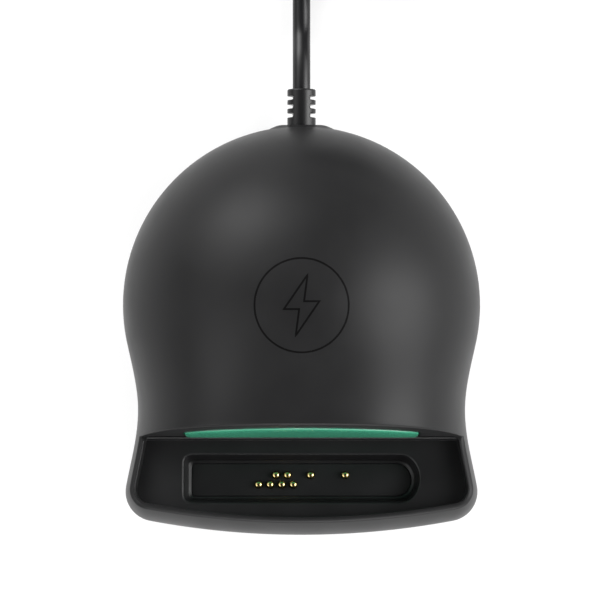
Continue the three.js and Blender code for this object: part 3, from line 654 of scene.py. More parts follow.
def build_tray():
    """Rim, floor and well in one skin, from under the floor up and over the rim and down the well."""
    under = FLOOR_Z - TRAY_FLOOR
    loops = [tray_loop(0, under), tray_loop(0, -RIM_OUTER)]
    loops += [tray_loop(RIM_OUTER * (1 - math.cos(a)), -RIM_OUTER * (1 - math.sin(a))) for a in quarter(2)]
    inner = TRAY_WALL - RIM_INNER
    loops += [tray_loop(inner + RIM_INNER * math.sin(a), -RIM_FALL * (1 - math.cos(a))) for a in quarter(6)]
    for a in quarter(6):
        across = TRAY_WALL + FLOOR_FILLET * (1 - math.cos(a))
        loops.append(tray_loop(across, FLOOR_Z + FLOOR_FILLET * (1 - math.sin(a))))
    floor_edge = loops[-1]
    well_edge = well_loop(-WELL_BRIM, FLOOR_Z)
    loops += [blend_loops(floor_edge, well_edge, share) for share in (0.02, 0.25, 0.5, 0.75, 0.98)]
    for a in quarter(5):
        loops.append(well_loop(-WELL_BRIM * (1 - math.sin(a)), FLOOR_Z - WELL_BRIM * (1 - math.cos(a))))
    reach = WELL_FILLET * 0.9
    wall_foot = WELL_DRAFT - reach
    top = FLOOR_Z - WELL_BRIM
    fall = BLOCK_TOP + WELL_FILLET - top
    loops += [well_loop(wall_foot * share, top + fall * share) for share in (0.33, 0.66, 1)]
    for a in quarter(5)[1:]:
        shrink = wall_foot + reach * (1 - math.cos(a))
        loops.append(well_loop(shrink, BLOCK_TOP + WELL_FILLET * (1 - math.sin(a))))
    loops += [well_loop(WELL_DRAFT, WELL_FOOT), well_loop(-1, WELL_FOOT), well_loop(-1, under)]
    return loft("tray", loops, POCKET_TO_ROW, closed_rows=True)


dress(build_tray(), "dock", "satin_black", "cradle_tray")


# ---------------- backrest and window, leaning
UPRIGHT_TO_ROW = POCKET_TO_ROW @ Matrix.Rotation(math.pi / 2, 4, "X")
PANEL_FACE = 0.15
PANEL_THICKNESS = 2.0
PANEL_FOOT = -3.2
WINDOW_HALF_LENGTH = 24.8
WINDOW_END = 6.4
WINDOW_TOP = 16.6
WINDOW_FOOT = 0.3
WINDOW_STANDS = 0.33  # how far the lens stands in front of the panel
ARCH_COUNT = 240


def arch_loop(inset, depth):
    """The panel's outline at a depth behind the hood's edge, as (x, height, -depth)."""
    crest = []
    steps = 64
    for i in range(-steps, steps + 1):
        x = CORNER_X * math.sin(i / steps * math.pi / 2)
        here = visor_point(x)
        near, far = visor_point(x - 0.02), visor_point(x + 0.02)
        along = Vector((far.x - near.x, (far.z - near.z) / math.cos(LEAN))).normalized()
        height = (here.z - POCKET_Z) / math.cos(LEAN)
        if abs(i) == steps:
            crest.append(Vector((x - math.copysign(inset, x), 0, 0)))
        else:
            crest.append(Vector((x + along.y * inset, height - along.x * inset, 0)))
    left = Vector((crest[0].x, PANEL_FOOT, 0))
    right = Vector((crest[-1].x, PANEL_FOOT, 0))
    outline = resample([left] + crest + [right], ARCH_COUNT * 2 // 3)
    outline += resample([right, left], ARCH_COUNT - ARCH_COUNT * 2 // 3)[1:-1]
    return [(p.x, p.y, -depth) for p in outline]


def window_loop(grow, depth):
    """The window's outline, grown on all sides, at a depth behind the hood's edge."""
    length = WINDOW_HALF_LENGTH + grow
    round_foot = max(0.1, 0.6 + grow)
    crest = []
    for i in range(-48, 49):
        share = math.sin(i / 48 * math.pi / 2)
        rise = max(0.0, math.cos(share * math.pi / 2)) ** 0.62
        height = WINDOW_END + (WINDOW_TOP - WINDOW_END) * rise + grow
        crest.append(Vector((length * share, height, 0)))
    foot = WINDOW_FOOT - grow
    lower = [
        Vector((length - round_foot * (1 - math.cos(a)), foot + round_foot * (1 - math.sin(a)), 0))
        for a in quarter(6)
    ]
    left_lower = [Vector((-p.x, p.y, 0)) for p in lower[::-1]]
    outline = resample(left_lower[-1:] + crest + lower[:1], ARCH_COUNT * 2 // 3)
    outline += resample(lower + left_lower, ARCH_COUNT - ARCH_COUNT * 2 // 3)[1:-1]
    return [(p.x, p.y, -depth) for p in outline]


def build_panel():
    edge = 0.3
    outer_inset = WALL + 0.05
    back = PANEL_FACE + PANEL_THICKNESS
    loops = [arch_loop(outer_inset, back)]
    for a in quarter(3):
        loops.append(arch_loop(outer_inset + edge * (1 - math.cos(a)), PANEL_FACE + edge * (1 - math.sin(a))))
    for a in quarter(3):
        loops.append(window_loop(PLAY + edge * (1 - math.sin(a)), PANEL_FACE + edge * (1 - math.cos(a))))
    loops.append(window_loop(PLAY, back))
    return loft("backrest", loops, UPRIGHT_TO_ROW, closed_rows=True)


def build_window():
    """A lens that swells towards its middle."""
    edge, crowned = 0.5, 2.6
    back = PANEL_THICKNESS + 0.6
    loops = [window_loop(-edge, back), window_loop(0, back - edge)]
    for a in quarter(12):
        shrink = crowned * (1 - math.cos(a)) ** 1.2
        loops.append(window_loop(-shrink, edge * (1 - math.sin(a)) - WINDOW_STANDS))
    return loft("window", loops, UPRIGHT_TO_ROW)


dress(build_panel(), "dock", "satin_black", "backrest_panel")
dress(build_window(), "dock", "green_lens", "light_window")


# ---------------- contacts
CONTACT_RADIUS = 0.75
CONTACT_CROWN = 0.42
COLLAR_RADIUS = 0.84
ROW_OFFSET = 1.03
CONTACT_SPOTS = [(x, WELL_Y - ROW_OFFSET) for x in (-9.3, -6.8, -4.3, -1.8)]
CONTACT_SPOTS += [(x, WELL_Y + ROW_OFFSET) for x in (-5.55, -3.05, 1.95, 9.45)]
TIP_TOP = BLOCK_TOP + 1.2
COLLAR_TOP = BLOCK_TOP - 1.0
SPRING_LENGTH = 3.6
BARREL_FLOOR = BLOCK_TOP - 0.95 - 1.05 - SPRING_LENGTH - 0.1


def build_tip(index, spot):
    profile = [(0, TIP_TOP)]
    for i in range(1, 9):
        share = i / 8
        profile.append((CONTACT_RADIUS * share, TIP_TOP - CONTACT_CROWN * (1 - math.sqrt(1 - share**2))))
    profile += [(CONTACT_RADIUS, COLLAR_TOP), (COLLAR_RADIUS, COLLAR_TOP)]
    profile += [(COLLAR_RADIUS, COLLAR_TOP - 1), (0, COLLAR_TOP - 1)]
    tip = spun(f"contact_tip_{index}", profile, 32, POCKET_TO_ROW, spot)
    sharpen(tip)
    dress(tip, f"contact_{index}", "gold", f"contact_plunger_{index}")


def build_spring(index, spot):
    """A coil spring under its contact, built at one fixed length."""
    wire, radius, turns, sides, around = 0.13, 0.66, 6, 28, 8
    foot = BARREL_FLOOR + 0.05
    loops = []
    steps = turns * sides
    for i in range(steps + 1):
        angle = 2 * math.pi * i / sides
        z = foot + wire + (SPRING_LENGTH - 2 * wire) * i / steps
        centre = Vector((spot[0] + radius * math.cos(angle), spot[1] + radius * math.sin(angle), z))
        outward = Vector((math.cos(angle), math.sin(angle), 0))
        loops.append(
            [
                tuple(centre + outward * wire * math.cos(b) + Vector((0, 0, wire * math.sin(b))))
                for b in (2 * math.pi * k / around for k in range(around))
            ]
        )
    spring = loft(f"contact_coil_{index}", loops, POCKET_TO_ROW)
    dress(spring, "dock", "steel", f"contact_spring_{index}")
    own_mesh(spring)


for index, spot in enumerate(CONTACT_SPOTS, 1):
    build_tip(index, spot)
for index, spot in enumerate(CONTACT_SPOTS, 1):
    build_spring(index, spot)


EAR_X = 28.3  # the block's screws stand in an ear at each end
EAR_BOTTOM = BLOCK_TOP - 4.4


def slab(half_length, half_width_, low, high):
    corners = ((-1, -1), (1, -1), (1, 1), (-1, 1))
    loops = [[(half_length * x, WELL_Y + half_width_ * y, z) for x, y in corners] for z in (low, high)]
    return loft("slab", loops, POCKET_TO_ROW, smooth=False)


def build_block():
    """The contact block with its rounded top edge and a countersunk hole for each tip."""
    floor_shrink = WELL_DRAFT + 0.06
    edge = 0.12
    loops = [well_loop(floor_shrink, WELL_FOOT - 0.6)]
    for a in quarter(4):
        loops.append(well_loop(floor_shrink + edge * (1 - math.cos(a)), BLOCK_TOP - edge * (1 - math.sin(a))))
    block = loft("contact_base", loops, POCKET_TO_ROW)
    low, high = WELL_FOOT - PLAY - 4.7, WELL_FOOT - PLAY
    boolean(block, slab(26, 5.6, low, high), "UNION")
    boolean(block, slab(31, 2.4, EAR_BOTTOM, BLOCK_TOP - 2.6), "UNION")
    sink, hole, counterbore, ledge = 0.16, 0.81, 1.06, BLOCK_TOP - 0.95
    for spot in CONTACT_SPOTS:
        bore = [(0, low - 1), (counterbore, low - 1), (counterbore, ledge), (hole, ledge)]
        bore += [(hole, BLOCK_TOP - sink), (hole + sink, BLOCK_TOP), (hole + sink, BLOCK_TOP + 1)]
        boolean(block, spun("bore", bore + [(0, BLOCK_TOP + 1)], 40, POCKET_TO_ROW, spot))
    for x in (-EAR_X, EAR_X):
        bore = [(0, low - 1), (1.3, low - 1), (1.3, high + 1), (0, high + 1)]
        boolean(block, spun("bore", bore, 24, POCKET_TO_ROW, (x, WELL_Y)))
    sharpen(block, 35)
    return block


dress(build_block(), "dock", "satin_black", "contact_block")


# ---------------- base plate, feet and screws
PLATE_TOP = 3.0
BOARD_Z = 9.2
POSTS = [(-26, 12), (26, 12), (-29, -20), (29, -20)]
BOARD_POSTS = [(-17, -7), (17, -7), (-17, 17), (17, 17)]
FEET = [(-20, 24), (20, 24), (-27, -39), (27, -39)]


def disc(radius, low, high, spot, sides=40):
    profile = [(0, low), (radius, low), (radius, high), (0, high)]
    return spun("cutter", profile, sides, TO_ROW, spot)


def plate_loop(inset, z):
    """The base plate's outline, inside the housing's wall."""
    inset += WALL + PLAY + TUCK
    bottom = [column[SKIN_ROWS] for column in OUTER_COLUMNS]
    count = len(bottom)
    loop = []
    for i, point in enumerate(bottom):
        along = bottom[(i + 2) % count] - bottom[(i - 2) % count]
        normal = Vector((along.y, -along.x, 0)).normalized()
        loop.append((point.x + normal.x * inset, point.y + normal.y * inset, z))
    return loop


def build_plate():
    edge = 0.35
    loops = [plate_loop(edge * (1 - math.sin(a)), SKIRT_Z + edge * (1 - math.cos(a))) for a in quarter(3)]
    loops.append(plate_loop(0, PLATE_TOP))
    plate = loft("base", loops, smooth=False)
    for spot in POSTS:
        boolean(plate, disc(3, PLATE_TOP - 0.5, PLATE_TOP + 1, spot), "UNION")
    for spot in BOARD_POSTS:
        boolean(plate, disc(2.4, PLATE_TOP - 0.5, BOARD_Z - 0.2, spot), "UNION")
    for spot in FEET:
        boolean(plate, disc(4.3, SKIRT_Z - 1, SKIRT_Z + 1, spot))
    for spot in POSTS:
        boolean(plate, disc(2.4, SKIRT_Z - 1, SKIRT_Z + 1.6, spot))
        boolean(plate, disc(1.3, SKIRT_Z - 1, PLATE_TOP + 2, spot))
    for spot in BOARD_POSTS:
        boolean(plate, disc(1, PLATE_TOP + 0.5, BOARD_Z + 1, spot))
    sharpen(plate, 30)
    return plate


dress(build_plate(), "dock", "black_nylon", "base_plate")


def build_foot(index, spot):
    """A rubber foot with a rounded edge and a shallow ring in its face."""
    edge = 0.5
    profile = [(0, 1.9), (3.9, 1.9), (4.0, 1.8)]
    profile += [(4 - edge * (1 - math.cos(a)), edge * (1 - math.sin(a))) for a in quarter(5)]
    profile += [(2.7, 0.0), (2.5, 0.2), (2.1, 0.2), (1.9, 0.0), (0, 0.0)]
    foot = spun(f"foot_{index}", profile, 48, TO_ROW, spot)
    sharpen(foot, 50)
    dress(foot, "dock", "rubber", f"rubber_foot_{index}")


for index, spot in enumerate(FEET, 1):
    build_foot(index, spot)


def build_screw(name, node, spot, shank, head, matrix=TO_ROW, point_up=True):
    """A screw with a cross recess. shank and head are (radius, low, high)."""
    turn = 1 if point_up else -1
    face, seat = (head[1], head[2]) if point_up else (head[2], head[1])
    tip = shank[2] if point_up else shank[1]
    edge = 0.25 * turn
    profile = [(0, tip), (shank[0] * 0.3, tip), (shank[0] * 0.85, tip - 0.8 * turn)]
    pitch = 0.7
    turns = int((abs(tip - seat) - 1.0) / pitch)
    for i in range(turns):
        z = tip - turn * (0.9 + pitch * i)
        profile += [(shank[0], z), (shank[0] * 0.78, z - turn * pitch / 2)]
    profile += [(shank[0] * 0.8, seat), (head[0], seat)]
    profile += [(head[0], face + edge), (head[0] - abs(edge), face), (0, face)]
    screw = spun(name, profile, 28, matrix, spot)
    low, high = sorted((face - 0.3 * turn, face + 0.75 * turn))
    for across, along in ((1.1, 0.22), (0.22, 1.1)):
        corners = [(-across, -along), (across, -along), (across, along), (-across, along)]
        loops = [[(spot[0] + x, spot[1] + y, z) for x, y in corners] for z in (low, high)]
        boolean(screw, loft("cutter", loops, matrix, smooth=False))
    sharpen(screw, 35)
    dress(screw, "dock", "steel", node)


for index, spot in enumerate(POSTS, 1):
    build_screw(f"base_fixing_{index}", f"base_screw_{index}", spot, (1, 2, 14), (2.1, 1.3, 2.4))
for index, spot in enumerate(BOARD_POSTS[1:3], 1):
    shank = (0.8, BOARD_Z - 4, BOARD_Z + 2.5)
    head = (1.9, BOARD_Z + 1.8, BOARD_Z + 3)
    build_screw(f"board_fixing_{index}", f"board_screw_{index}", spot, shank, head, point_up=False)
for index, x in enumerate((-EAR_X, EAR_X), 1):
    shank = (1, EAR_BOTTOM - 0.5, FLOOR_Z - 2.5)
    head = (2, EAR_BOTTOM - 1.6, EAR_BOTTOM - PLAY)
    build_screw(f"block_fixing_{index}", f"block_screw_{index}", (x, WELL_Y), shank, head, POCKET_TO_ROW)


# ---------------- strain relief
ALONG_CORD = TO_ROW @ Matrix.Translation((0, 0, CORD_Z)) @ Matrix.Rotation(-math.pi / 2, 4, "X")
BOOT_RADIUS = 3.12
BOOT_BORE = 2.0
FLANGE_RADIUS = 3.65
FLANGE_REAR, FLANGE_FRONT = 33.7, 35.15
SLOT_FLOOR = 1.72  # half-width left in the middle
RIBS = [(39.5, 41.02), (41.96, 42.97), (43.87, 44.88), (45.72, 47.25)]


def slot_cutter(side, near, far):
    """A slot with a rounded end, cut in from one side of the relief down to the cord."""
    radius = (far - near) / 2
    middle = (near + far) / 2
    floor = side * (SLOT_FLOOR + radius)
    points = [(side * 5, far), (side * 5, near)]
    for i in range(9):
        angle = math.pi / 2 + i / 8 * math.pi
        points.append((floor + side * radius * math.cos(angle), middle - radius * math.sin(angle)))
    loops = [[TO_ROW @ Vector((x, y, CORD_Z + z)) for x, y in points] for z in (-5, 5)]
    return loft("cutter", loops, Matrix(), smooth=False)


def build_boot():
    """A rounded sleeve with slots cut in from both sides, so ribs hang on a spine above and below."""
    edge = 0.3
    far = RIBS[-1][1]
    profile = [(0, FLANGE_REAR), (FLANGE_RADIUS, FLANGE_REAR)]
    profile += [(FLANGE_RADIUS, FLANGE_FRONT), (BOOT_RADIUS, FLANGE_FRONT)]
    profile += [(BOOT_RADIUS - edge * (1 - math.cos(a)), far - edge * (1 - math.sin(a))) for a in quarter(4)]
    profile.append((0, far))
    boot = spun("strain_relief", profile, 64, ALONG_CORD)
    for (_, low), (high, _) in zip(RIBS, RIBS[1:]):
        for side in (-1, 1):
            boolean(boot, slot_cutter(side, low, high))
    remesh = boot.modifiers.new("melt", "REMESH")
    remesh.mode = "VOXEL"
    remesh.voxel_size = 0.1 * MM
    soften = boot.modifiers.new("soften", "SMOOTH")
    soften.factor = 0.5
    soften.iterations = 9
    apply_modifiers(boot)
    boolean(boot, spun("bore", [(0, 30), (BOOT_BORE, 30), (BOOT_BORE, 50), (0, 50)], 48, ALONG_CORD))
    sharpen(boot, 60)
    return boot


dress(build_boot(), "dock", "black_nylon", "strain_relief_boot")
HOLE = BOOT_RADIUS + 0.2
boolean(housing, spun("hole", [(0, 30), (HOLE, 30), (HOLE, 45), (0, 45)], 64, ALONG_CORD))
sharpen(housing, 50)


# ---------------- plug
PLUG_HALF_WIDTH = 7.8
PLUG_HALF_HEIGHT = 3.98


def rounded_box_loop(half_x, half_z, radius, y):
    """A rounded rectangle across the plug at y, as points in the dock's frame."""
    loop = []
    for corner, (side_x, side_z) in enumerate(((1, 1), (-1, 1), (-1, -1), (1, -1))):
        for a in quarter(6):
            angle = a + corner * math.pi / 2
            x = side_x * (half_x - radius) + radius * math.cos(angle)
            z = side_z * (half_z - radius) + radius * math.sin(angle)
            loop.append((PLUG_X + x, y, PLUG_HEIGHT / 2 + z))
    return loop


def build_plug_body():
    """The grip from the lead's end forward, as (along, half width, half height, corner) sections."""
    front = PLUG_Y - PLUG_LENGTH
    full = (PLUG_HALF_WIDTH, PLUG_HALF_HEIGHT, 1.8)
    groove = (PLUG_HALF_WIDTH - 0.3, 3.72, 1.6)
    sections = [(0, 3, 2.6, 2.4), (0.5, 3.3, 2.9, 2.6), (3, 4.4, 3.3, 2.6)]
    sections += [(5, 6, 3.6, 2.2), (6.6, 7.2, 3.75, 2)]
    for k in range(4):
        start = 8 + 2.2 * k
        sections += [(start, *full), (start + 1.1, *full), (start + 1.3, *groove), (start + 2, *groove)]
    sections += [(17, *full), (PLUG_LENGTH - 0.5, *full)]
    sections += [(PLUG_LENGTH - 0.15, 7.6, 3.8, 1.6), (PLUG_LENGTH, 7.3, 3.5, 1.4)]
    body = loft("plug_grip", [rounded_box_loop(w, h, r, PLUG_Y - along) for along, w, h, r in sections])
    mouth = [rounded_box_loop(6.25, 2.5, 0.4, y) for y in (front - 2, front + 3)]
    boolean(body, loft("cutter", mouth))
    sharpen(body, 30)
    return body


def build_plug_shell():
    near, far = PLUG_Y - PLUG_LENGTH - 12, PLUG_Y - PLUG_LENGTH + 2.7
    shell = loft("plug_sleeve", [rounded_box_loop(6, 2.25, 0.5, y) for y in (near, far)])
    boolean(shell, loft("cutter", [rounded_box_loop(5.7, 1.95, 0.25, y) for y in (near - 1, far - 0.6)]))
    for x in (-2.9, 2.9):
        for z in (2, 6.5):
            left, right, back, end = x - 1.25, x + 1.25, near + 5, near + 7.5
            corners = [(left, back), (right, back), (right, end), (left, end)]
            loops = [[(PLUG_X + a, b, c) for a, b in corners] for c in (z - 0.6, z + 0.6)]
            boolean(shell, loft("cutter", loops, smooth=False))
    sharpen(shell, 30)
    return shell


dress(build_plug_body(), "dock", "black_nylon", "plug_body")
dress(build_plug_shell(), "dock", "steel", "plug_shell")


# ---------------- the strap round the coil
STRAP_HALF_WIDTH = 4.0
STRAP_THICKNESS = 0.4
STRAP_NEAR = -COIL_ROWS * CORD_RADIUS - 1.2
STRAP_FAR = COIL_ROWS * CORD_RADIUS + 0.7
STRAP_TOP = COIL_LIFT + COIL_LAYERS * CORD_DIAMETER + 0.7
STRAP_CORNER = 1.9


def strap_loop(x, inset):
    """The strap's way round the bundle at x, inset from its outer face."""
    radius = STRAP_CORNER - inset
    middle_y, middle_z = (STRAP_FAR + STRAP_NEAR) / 2, STRAP_TOP / 2
    half_y = (STRAP_FAR - STRAP_NEAR) / 2 - STRAP_CORNER
    half_z = STRAP_TOP / 2 - STRAP_CORNER
    loop = []
    for corner, (side_y, side_z) in enumerate(((1, 1), (-1, 1), (-1, -1), (1, -1))):
        for a in quarter(8):
            angle = a + corner * math.pi / 2
            y = middle_y + side_y * half_y + radius * math.cos(angle)
            z = middle_z + side_z * half_z + radius * math.sin(angle)
            loop.append((COIL_X + x, COIL_Y + COIL_RADIUS + y, z))
    return loop


def band_rows():
    """(x, inset) pairs round the strap's section, with eased edges."""
    ease, w, t = 0.1, STRAP_HALF_WIDTH, STRAP_THICKNESS
    half = [(-w, t - ease), (-w, ease), (ease - w, 0), (w - ease, 0)]
    return half + [(-x, t - inset) for x, inset in half]


def build_strap():
    """A hook-and-loop strap, its free end laid over the top with a rounded tip."""
    strap = loft("strap", [strap_loop(x, inset) for x, inset in band_rows()], closed_rows=True)
    middle = COIL_Y + COIL_RADIUS
    start, end = middle + STRAP_NEAR + STRAP_CORNER + 0.6, middle + STRAP_FAR - STRAP_CORNER
    tip = [(STRAP_HALF_WIDTH * math.cos(a), start - 1.6 + 1.6 * (1 - math.sin(a))) for a in quarter(8)]
    outline = tip + [(-x, y) for x, y in tip[::-1][1:]] + [(-STRAP_HALF_WIDTH, end), (STRAP_HALF_WIDTH, end)]
    rows = []
    for z, shrink in ((-0.05, 0), (0.3, 0), (STRAP_THICKNESS, 0.1)):
        ease = 1 - shrink / STRAP_HALF_WIDTH
        plan = [(COIL_X + x * ease, y + (shrink if y < middle else 0)) for x, y in outline]
        rows.append([(x, y, STRAP_TOP + z) for x, y in plan])
    boolean(strap, loft("tail", rows), "UNION")
    sharpen(strap, 30)
    return strap


dress(build_strap(), "dock", "black_nylon", "coil_tie")


# ---------------- a generic charging mark, inlaid in the dome
MARK_RADIUS = 9.6
MARK_WIDTH = 0.36
MARK_CORNERS = ((-1, 0.012), (1, 0.012), (1, -0.15), (-1, -0.15))  # (side, lift above the skin)
MARK_TOP = CAD_BOX[1][2] / MM - 0.0005  # stays inside the solids' box
BOLT = [(1.2, 6.2), (-3.6, -0.8), (-0.5, -0.8), (-1.2, -6.2), (3.6, 0.8), (0.5, 0.8)]


def inlay(name, outline):
    """A thin closed strip along an outline, sunk in the dome with its face level with the skin."""
    count = len(outline)
    sides = ([], [], [], [])
    for i, point in enumerate(outline):
        before = (point - outline[i - 1]).normalized()
        after = (outline[(i + 1) % count] - point).normalized()
        normal = Vector((-(before + after).y, (before + after).x)).normalized()
        reach = MARK_WIDTH / 2 / max(0.5, normal.dot(Vector((-after.y, after.x))))
        for side, (sign, lift) in zip(sides, MARK_CORNERS):
            x, y = point + normal * reach * sign
            side.append((x, y, min(hood_height(x, y) + lift, MARK_TOP)))
    verts = [side[i] for i in range(count) for side in sides]
    faces = []
    for i in range(count):
        j = (i + 1) % count
        for k in range(4):
            m = (k + 1) % 4
            faces.append((4 * i + k, 4 * i + m, 4 * j + m, 4 * j + k))
    strip = make_object(name, verts, faces)
    sharpen(strip)
    dress(strip, "dock", "satin_black")


def dense(corners, spacing=0.4):
    points = []
    for i, corner in enumerate(corners):
        a, b = Vector(corner), Vector(corners[(i + 1) % len(corners)])
        steps = max(1, round((b - a).length / spacing))
        points += [a.lerp(b, k / steps) for k in range(steps)]
    return points


ring = [
    Vector((MARK_RADIUS * math.cos(a), MARK_RADIUS * math.sin(a)))
    for a in (2 * math.pi * i / 180 for i in range(180))
]
inlay("mark_ring", ring)
inlay("mark_bolt", dense(BOLT))


# ---------------- materials
def new_material(name):
    material = bpy.data.materials.new(name)
    material.use_nodes = True
    return material, material.node_tree.nodes["Principled BSDF"]


def add_noise(material, grain, detail=2.0):
    """A noise with grains of this size in millimetres, in the object's own space."""
    nodes = material.node_tree.nodes
    place = nodes.new("ShaderNodeTexCoord")
    noise = nodes.new("ShaderNodeTexNoise")
    noise.inputs["Scale"].default_value = 1 / (grain * MM)
    noise.inputs["Detail"].default_value = detail
    material.node_tree.links.new(place.outputs["Object"], noise.inputs["Vector"])
    return noise


def spread(material, noise, low, high):
    """Maps a noise to numbers between low and high."""
    ranger = material.node_tree.nodes.new("ShaderNodeMapRange")
    ranger.inputs["From Min"].default_value = 0.35
    ranger.inputs["From Max"].default_value = 0.65
    ranger.inputs["To Min"].default_value = low
    ranger.inputs["To Max"].default_value = high
    material.node_tree.links.new(noise.outputs["Fac"], ranger.inputs["Value"])
    return ranger.outputs["Result"]


def tint(material, noise, dark, light):
    mix = material.node_tree.nodes.new("ShaderNodeMix")
    mix.data_type = "RGBA"
    mix.inputs["A"].default_value = (*dark, 1)
    mix.inputs["B"].default_value = (*light, 1)
    material.node_tree.links.new(noise.outputs["Fac"], mix.inputs["Factor"])
    return mix.outputs["Result"]


def bump(material, shader, noise, height):
    node = material.node_tree.nodes.new("ShaderNodeBump")
    node.inputs["Strength"].default_value = 1.0
    node.inputs["Distance"].default_value = height * MM
    material.node_tree.links.new(noise.outputs["Fac"], node.inputs["Height"])
    material.node_tree.links.new(node.outputs["Normal"], shader.inputs["Normal"])


def surface(name, colour, roughness, grain=0.2, height=0.004, vary=0.15, patch=9.0, metallic=0.0, **sockets):
    """A moulded or plated surface: fine grain, and tone and gloss that drift a little over it."""
    material, shader = new_material(name)
    links = material.node_tree.links
    broad = add_noise(material, patch, 3)
    dark = [c * (1 - vary) for c in colour]
    light = [min(1, c * (1 + vary)) for c in colour]
    links.new(tint(material, broad, dark, light), shader.inputs["Base Color"])
    links.new(spread(material, broad, roughness * 0.94, roughness * 1.06), shader.inputs["Roughness"])
    shader.inputs["Metallic"].default_value = metallic
    for socket, value in sockets.items():
        shader.inputs[socket.replace("_", " ")].default_value = value
    bump(material, shader, add_noise(material, grain, 2), height)
    return material


SURFACES = {
    "soft_touch": dict(
        colour=(0.0112, 0.0112, 0.0115), roughness=0.38,
        grain=0.16, height=0.0022, Specular_IOR_Level=0.12,
    ),
    "satin_black": dict(
        colour=(0.0088, 0.0088, 0.0092), roughness=0.42,
        grain=0.22, height=0.003, Specular_IOR_Level=0.25,
    ),
    "black_nylon": dict(
        colour=(0.0085, 0.0085, 0.009), roughness=0.34,
        grain=0.3, height=0.005, Specular_IOR_Level=0.25,
    ),
    "cord_jacket": dict(
        colour=(0.0085, 0.0085, 0.009), roughness=0.3,
        grain=0.5, height=0.004, Specular_IOR_Level=0.25,
    ),
    "gold": dict(
        colour=(0.62, 0.5, 0.22), roughness=0.16,
        grain=0.12, height=0.0008, vary=0.1, patch=1.0, metallic=1.0,
    ),
    "steel": dict(
        colour=(0.5, 0.51, 0.53), roughness=0.3,
        grain=0.1, height=0.001, vary=0.08, patch=2.0, metallic=1.0,
    ),
    "board_green": dict(
        colour=(0.012, 0.09, 0.04), roughness=0.35,
        grain=0.5, height=0.006, vary=0.35, patch=1.6,
    ),
    "led_white": dict(colour=(0.75, 0.78, 0.74), roughness=0.35, grain=0.4, height=0.003, vary=0.05),
    "rubber": dict(colour=(0.012, 0.012, 0.012), roughness=0.8, grain=0.25, height=0.012),
    "green_lens": dict(
        colour=(0.046, 0.31, 0.185), roughness=0.2, grain=2.0, height=0.004, vary=0.08, patch=12.0,
        Transmission_Weight=0.3, Coat_Weight=0.2, Coat_Roughness=0.1,
    ),
}
SLOT_MATERIALS = {slot: surface(slot, **look) for slot, look in SURFACES.items()}
MARK = surface("mark_black", (0.002, 0.002, 0.002), 0.5, grain=0.3, height=0.001, Specular_IOR_Level=0.05)


def paint(obj, material):
    obj.data.materials.clear()
    obj.data.materials.append(material)


paint(lead, SLOT_MATERIALS["cord_jacket"])
for name, slot in PIECE_SLOTS.items():
    paint(bpy.data.objects[name], MARK if name.startswith("mark_") else SLOT_MATERIALS[slot])

# The pieces that stay as the solids are: painted by slot, with their edges eased.
node_slots = {entry["node"]: entry["material_slot"] for entry in frame["record"]["subparts"]}
for name, node in sorted(frame["nodes"].items()):
    for holder in node.material_slots:
        holder.link = "OBJECT"
        holder.material = SLOT_MATERIALS[node_slots[name]]
    bevel = node.modifiers.new("edges", "BEVEL")
    bevel.width = 0.12 * MM
    bevel.segments = 2
    bevel.limit_method = "ANGLE"
    bevel.angle_limit = math.radians(40)


# ---------------- the lead, ridden on the dock
plug_pieces = [bpy.data.objects[name] for name in ("plug_grip", "plug_sleeve", "strain_relief", "strap")]
plug_pieces.append(frame["nodes"]["plug_tongue"])
# The curve is ridden only now, after its material is on it, so that its bounds come out right.
dress(lead, "dock", "cord_jacket", "cord", "cord_coil", "cord_tail")


# ---------------- floor and light
def plane(name, size):
    mesh = bpy.data.meshes.new(name)
    corners = [(-size, -size, 0), (size, -size, 0), (size, size, 0), (-size, size, 0)]
    mesh.from_pydata(corners, [], [(0, 1, 2, 3)])
    obj = bpy.data.objects.new(name, mesh)
    bpy.context.collection.objects.link(obj)
    return obj


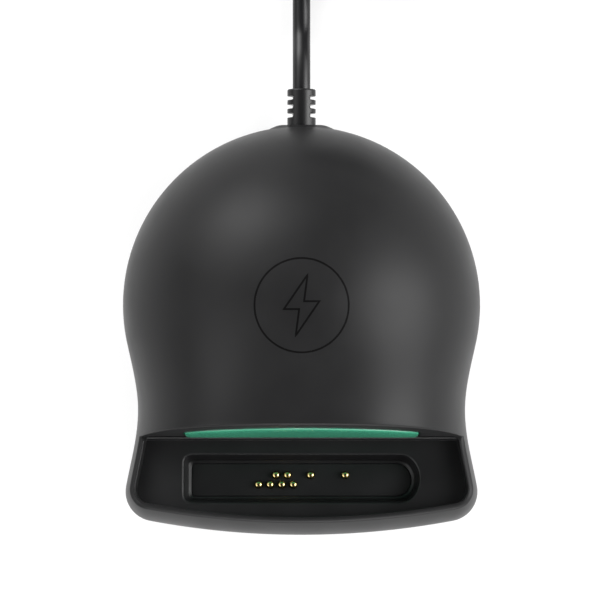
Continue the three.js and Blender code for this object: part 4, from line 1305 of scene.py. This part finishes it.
floor = plane("floor", 2.5)
floor_material, shader = new_material("floor")
shader.inputs["Roughness"].default_value = 0.9
shader.inputs["Specular IOR Level"].default_value = 0.0
pale = add_noise(floor_material, 80, 2)
floor_material.node_tree.links.new(
    tint(floor_material, pale, (0.24, 0.24, 0.24), (0.26, 0.26, 0.26)), shader.inputs["Base Color"]
)
shader.inputs["Emission Color"].default_value = (1, 1, 1, 1)
shader.inputs["Emission Strength"].default_value = 0.76
paint(floor, floor_material)

FILL_LIGHT = 0.02
# Soft lights round the dock: azimuth from the rear towards the right, elevation, strength, tightness.
SOFT_LIGHTS = [
    (322, 21, 6.5, 24),
    (345, 32, 3.5, 24),
    (330, 8, 3.5, 16),
    (60, 22, 1.9, 16),
    (312, 34, 2.4, 20),
    (90, 8, 5.5, 16),
    (88, 34, 11.5, 20),
    (150, 8, 7.0, 16),
    (180, 18, 12.0, 45),
    (240, 35, 4.6, 20),
    (270, 35, 1.2, 16),
]
world = bpy.data.worlds.new("studio")
bpy.context.scene.world = world
world.use_nodes = True
nodes, links = world.node_tree.nodes, world.node_tree.links
background = nodes["Background"]
background.inputs["Color"].default_value = (1, 1, 1, 1)
place = nodes.new("ShaderNodeTexCoord")


def world_math(operation, first, second):
    node = nodes.new("ShaderNodeMath")
    node.operation = operation
    for socket, value in zip(node.inputs, (first, second)):
        if isinstance(value, (int, float)):
            socket.default_value = value
        else:
            links.new(value, socket)
    return node.outputs[0]


total = world_math("ADD", FILL_LIGHT, 0.0)
for azimuth, elevation, strength, tightness in SOFT_LIGHTS:
    turn, rise = math.radians(azimuth), math.radians(elevation)
    facing = nodes.new("ShaderNodeVectorMath")
    facing.operation = "DOT_PRODUCT"
    level = math.cos(rise)
    facing.inputs[1].default_value = (level * math.sin(turn), level * math.cos(turn), math.sin(rise))
    links.new(place.outputs["Generated"], facing.inputs[0])
    spot = world_math("POWER", world_math("MAXIMUM", facing.outputs["Value"], 0.0), tightness)
    total = world_math("ADD", total, world_math("MULTIPLY", spot, strength))
links.new(total, background.inputs["Strength"])

bpy.context.scene.view_settings.view_transform = "Standard"
bpy.context.scene.view_settings.look = "None"
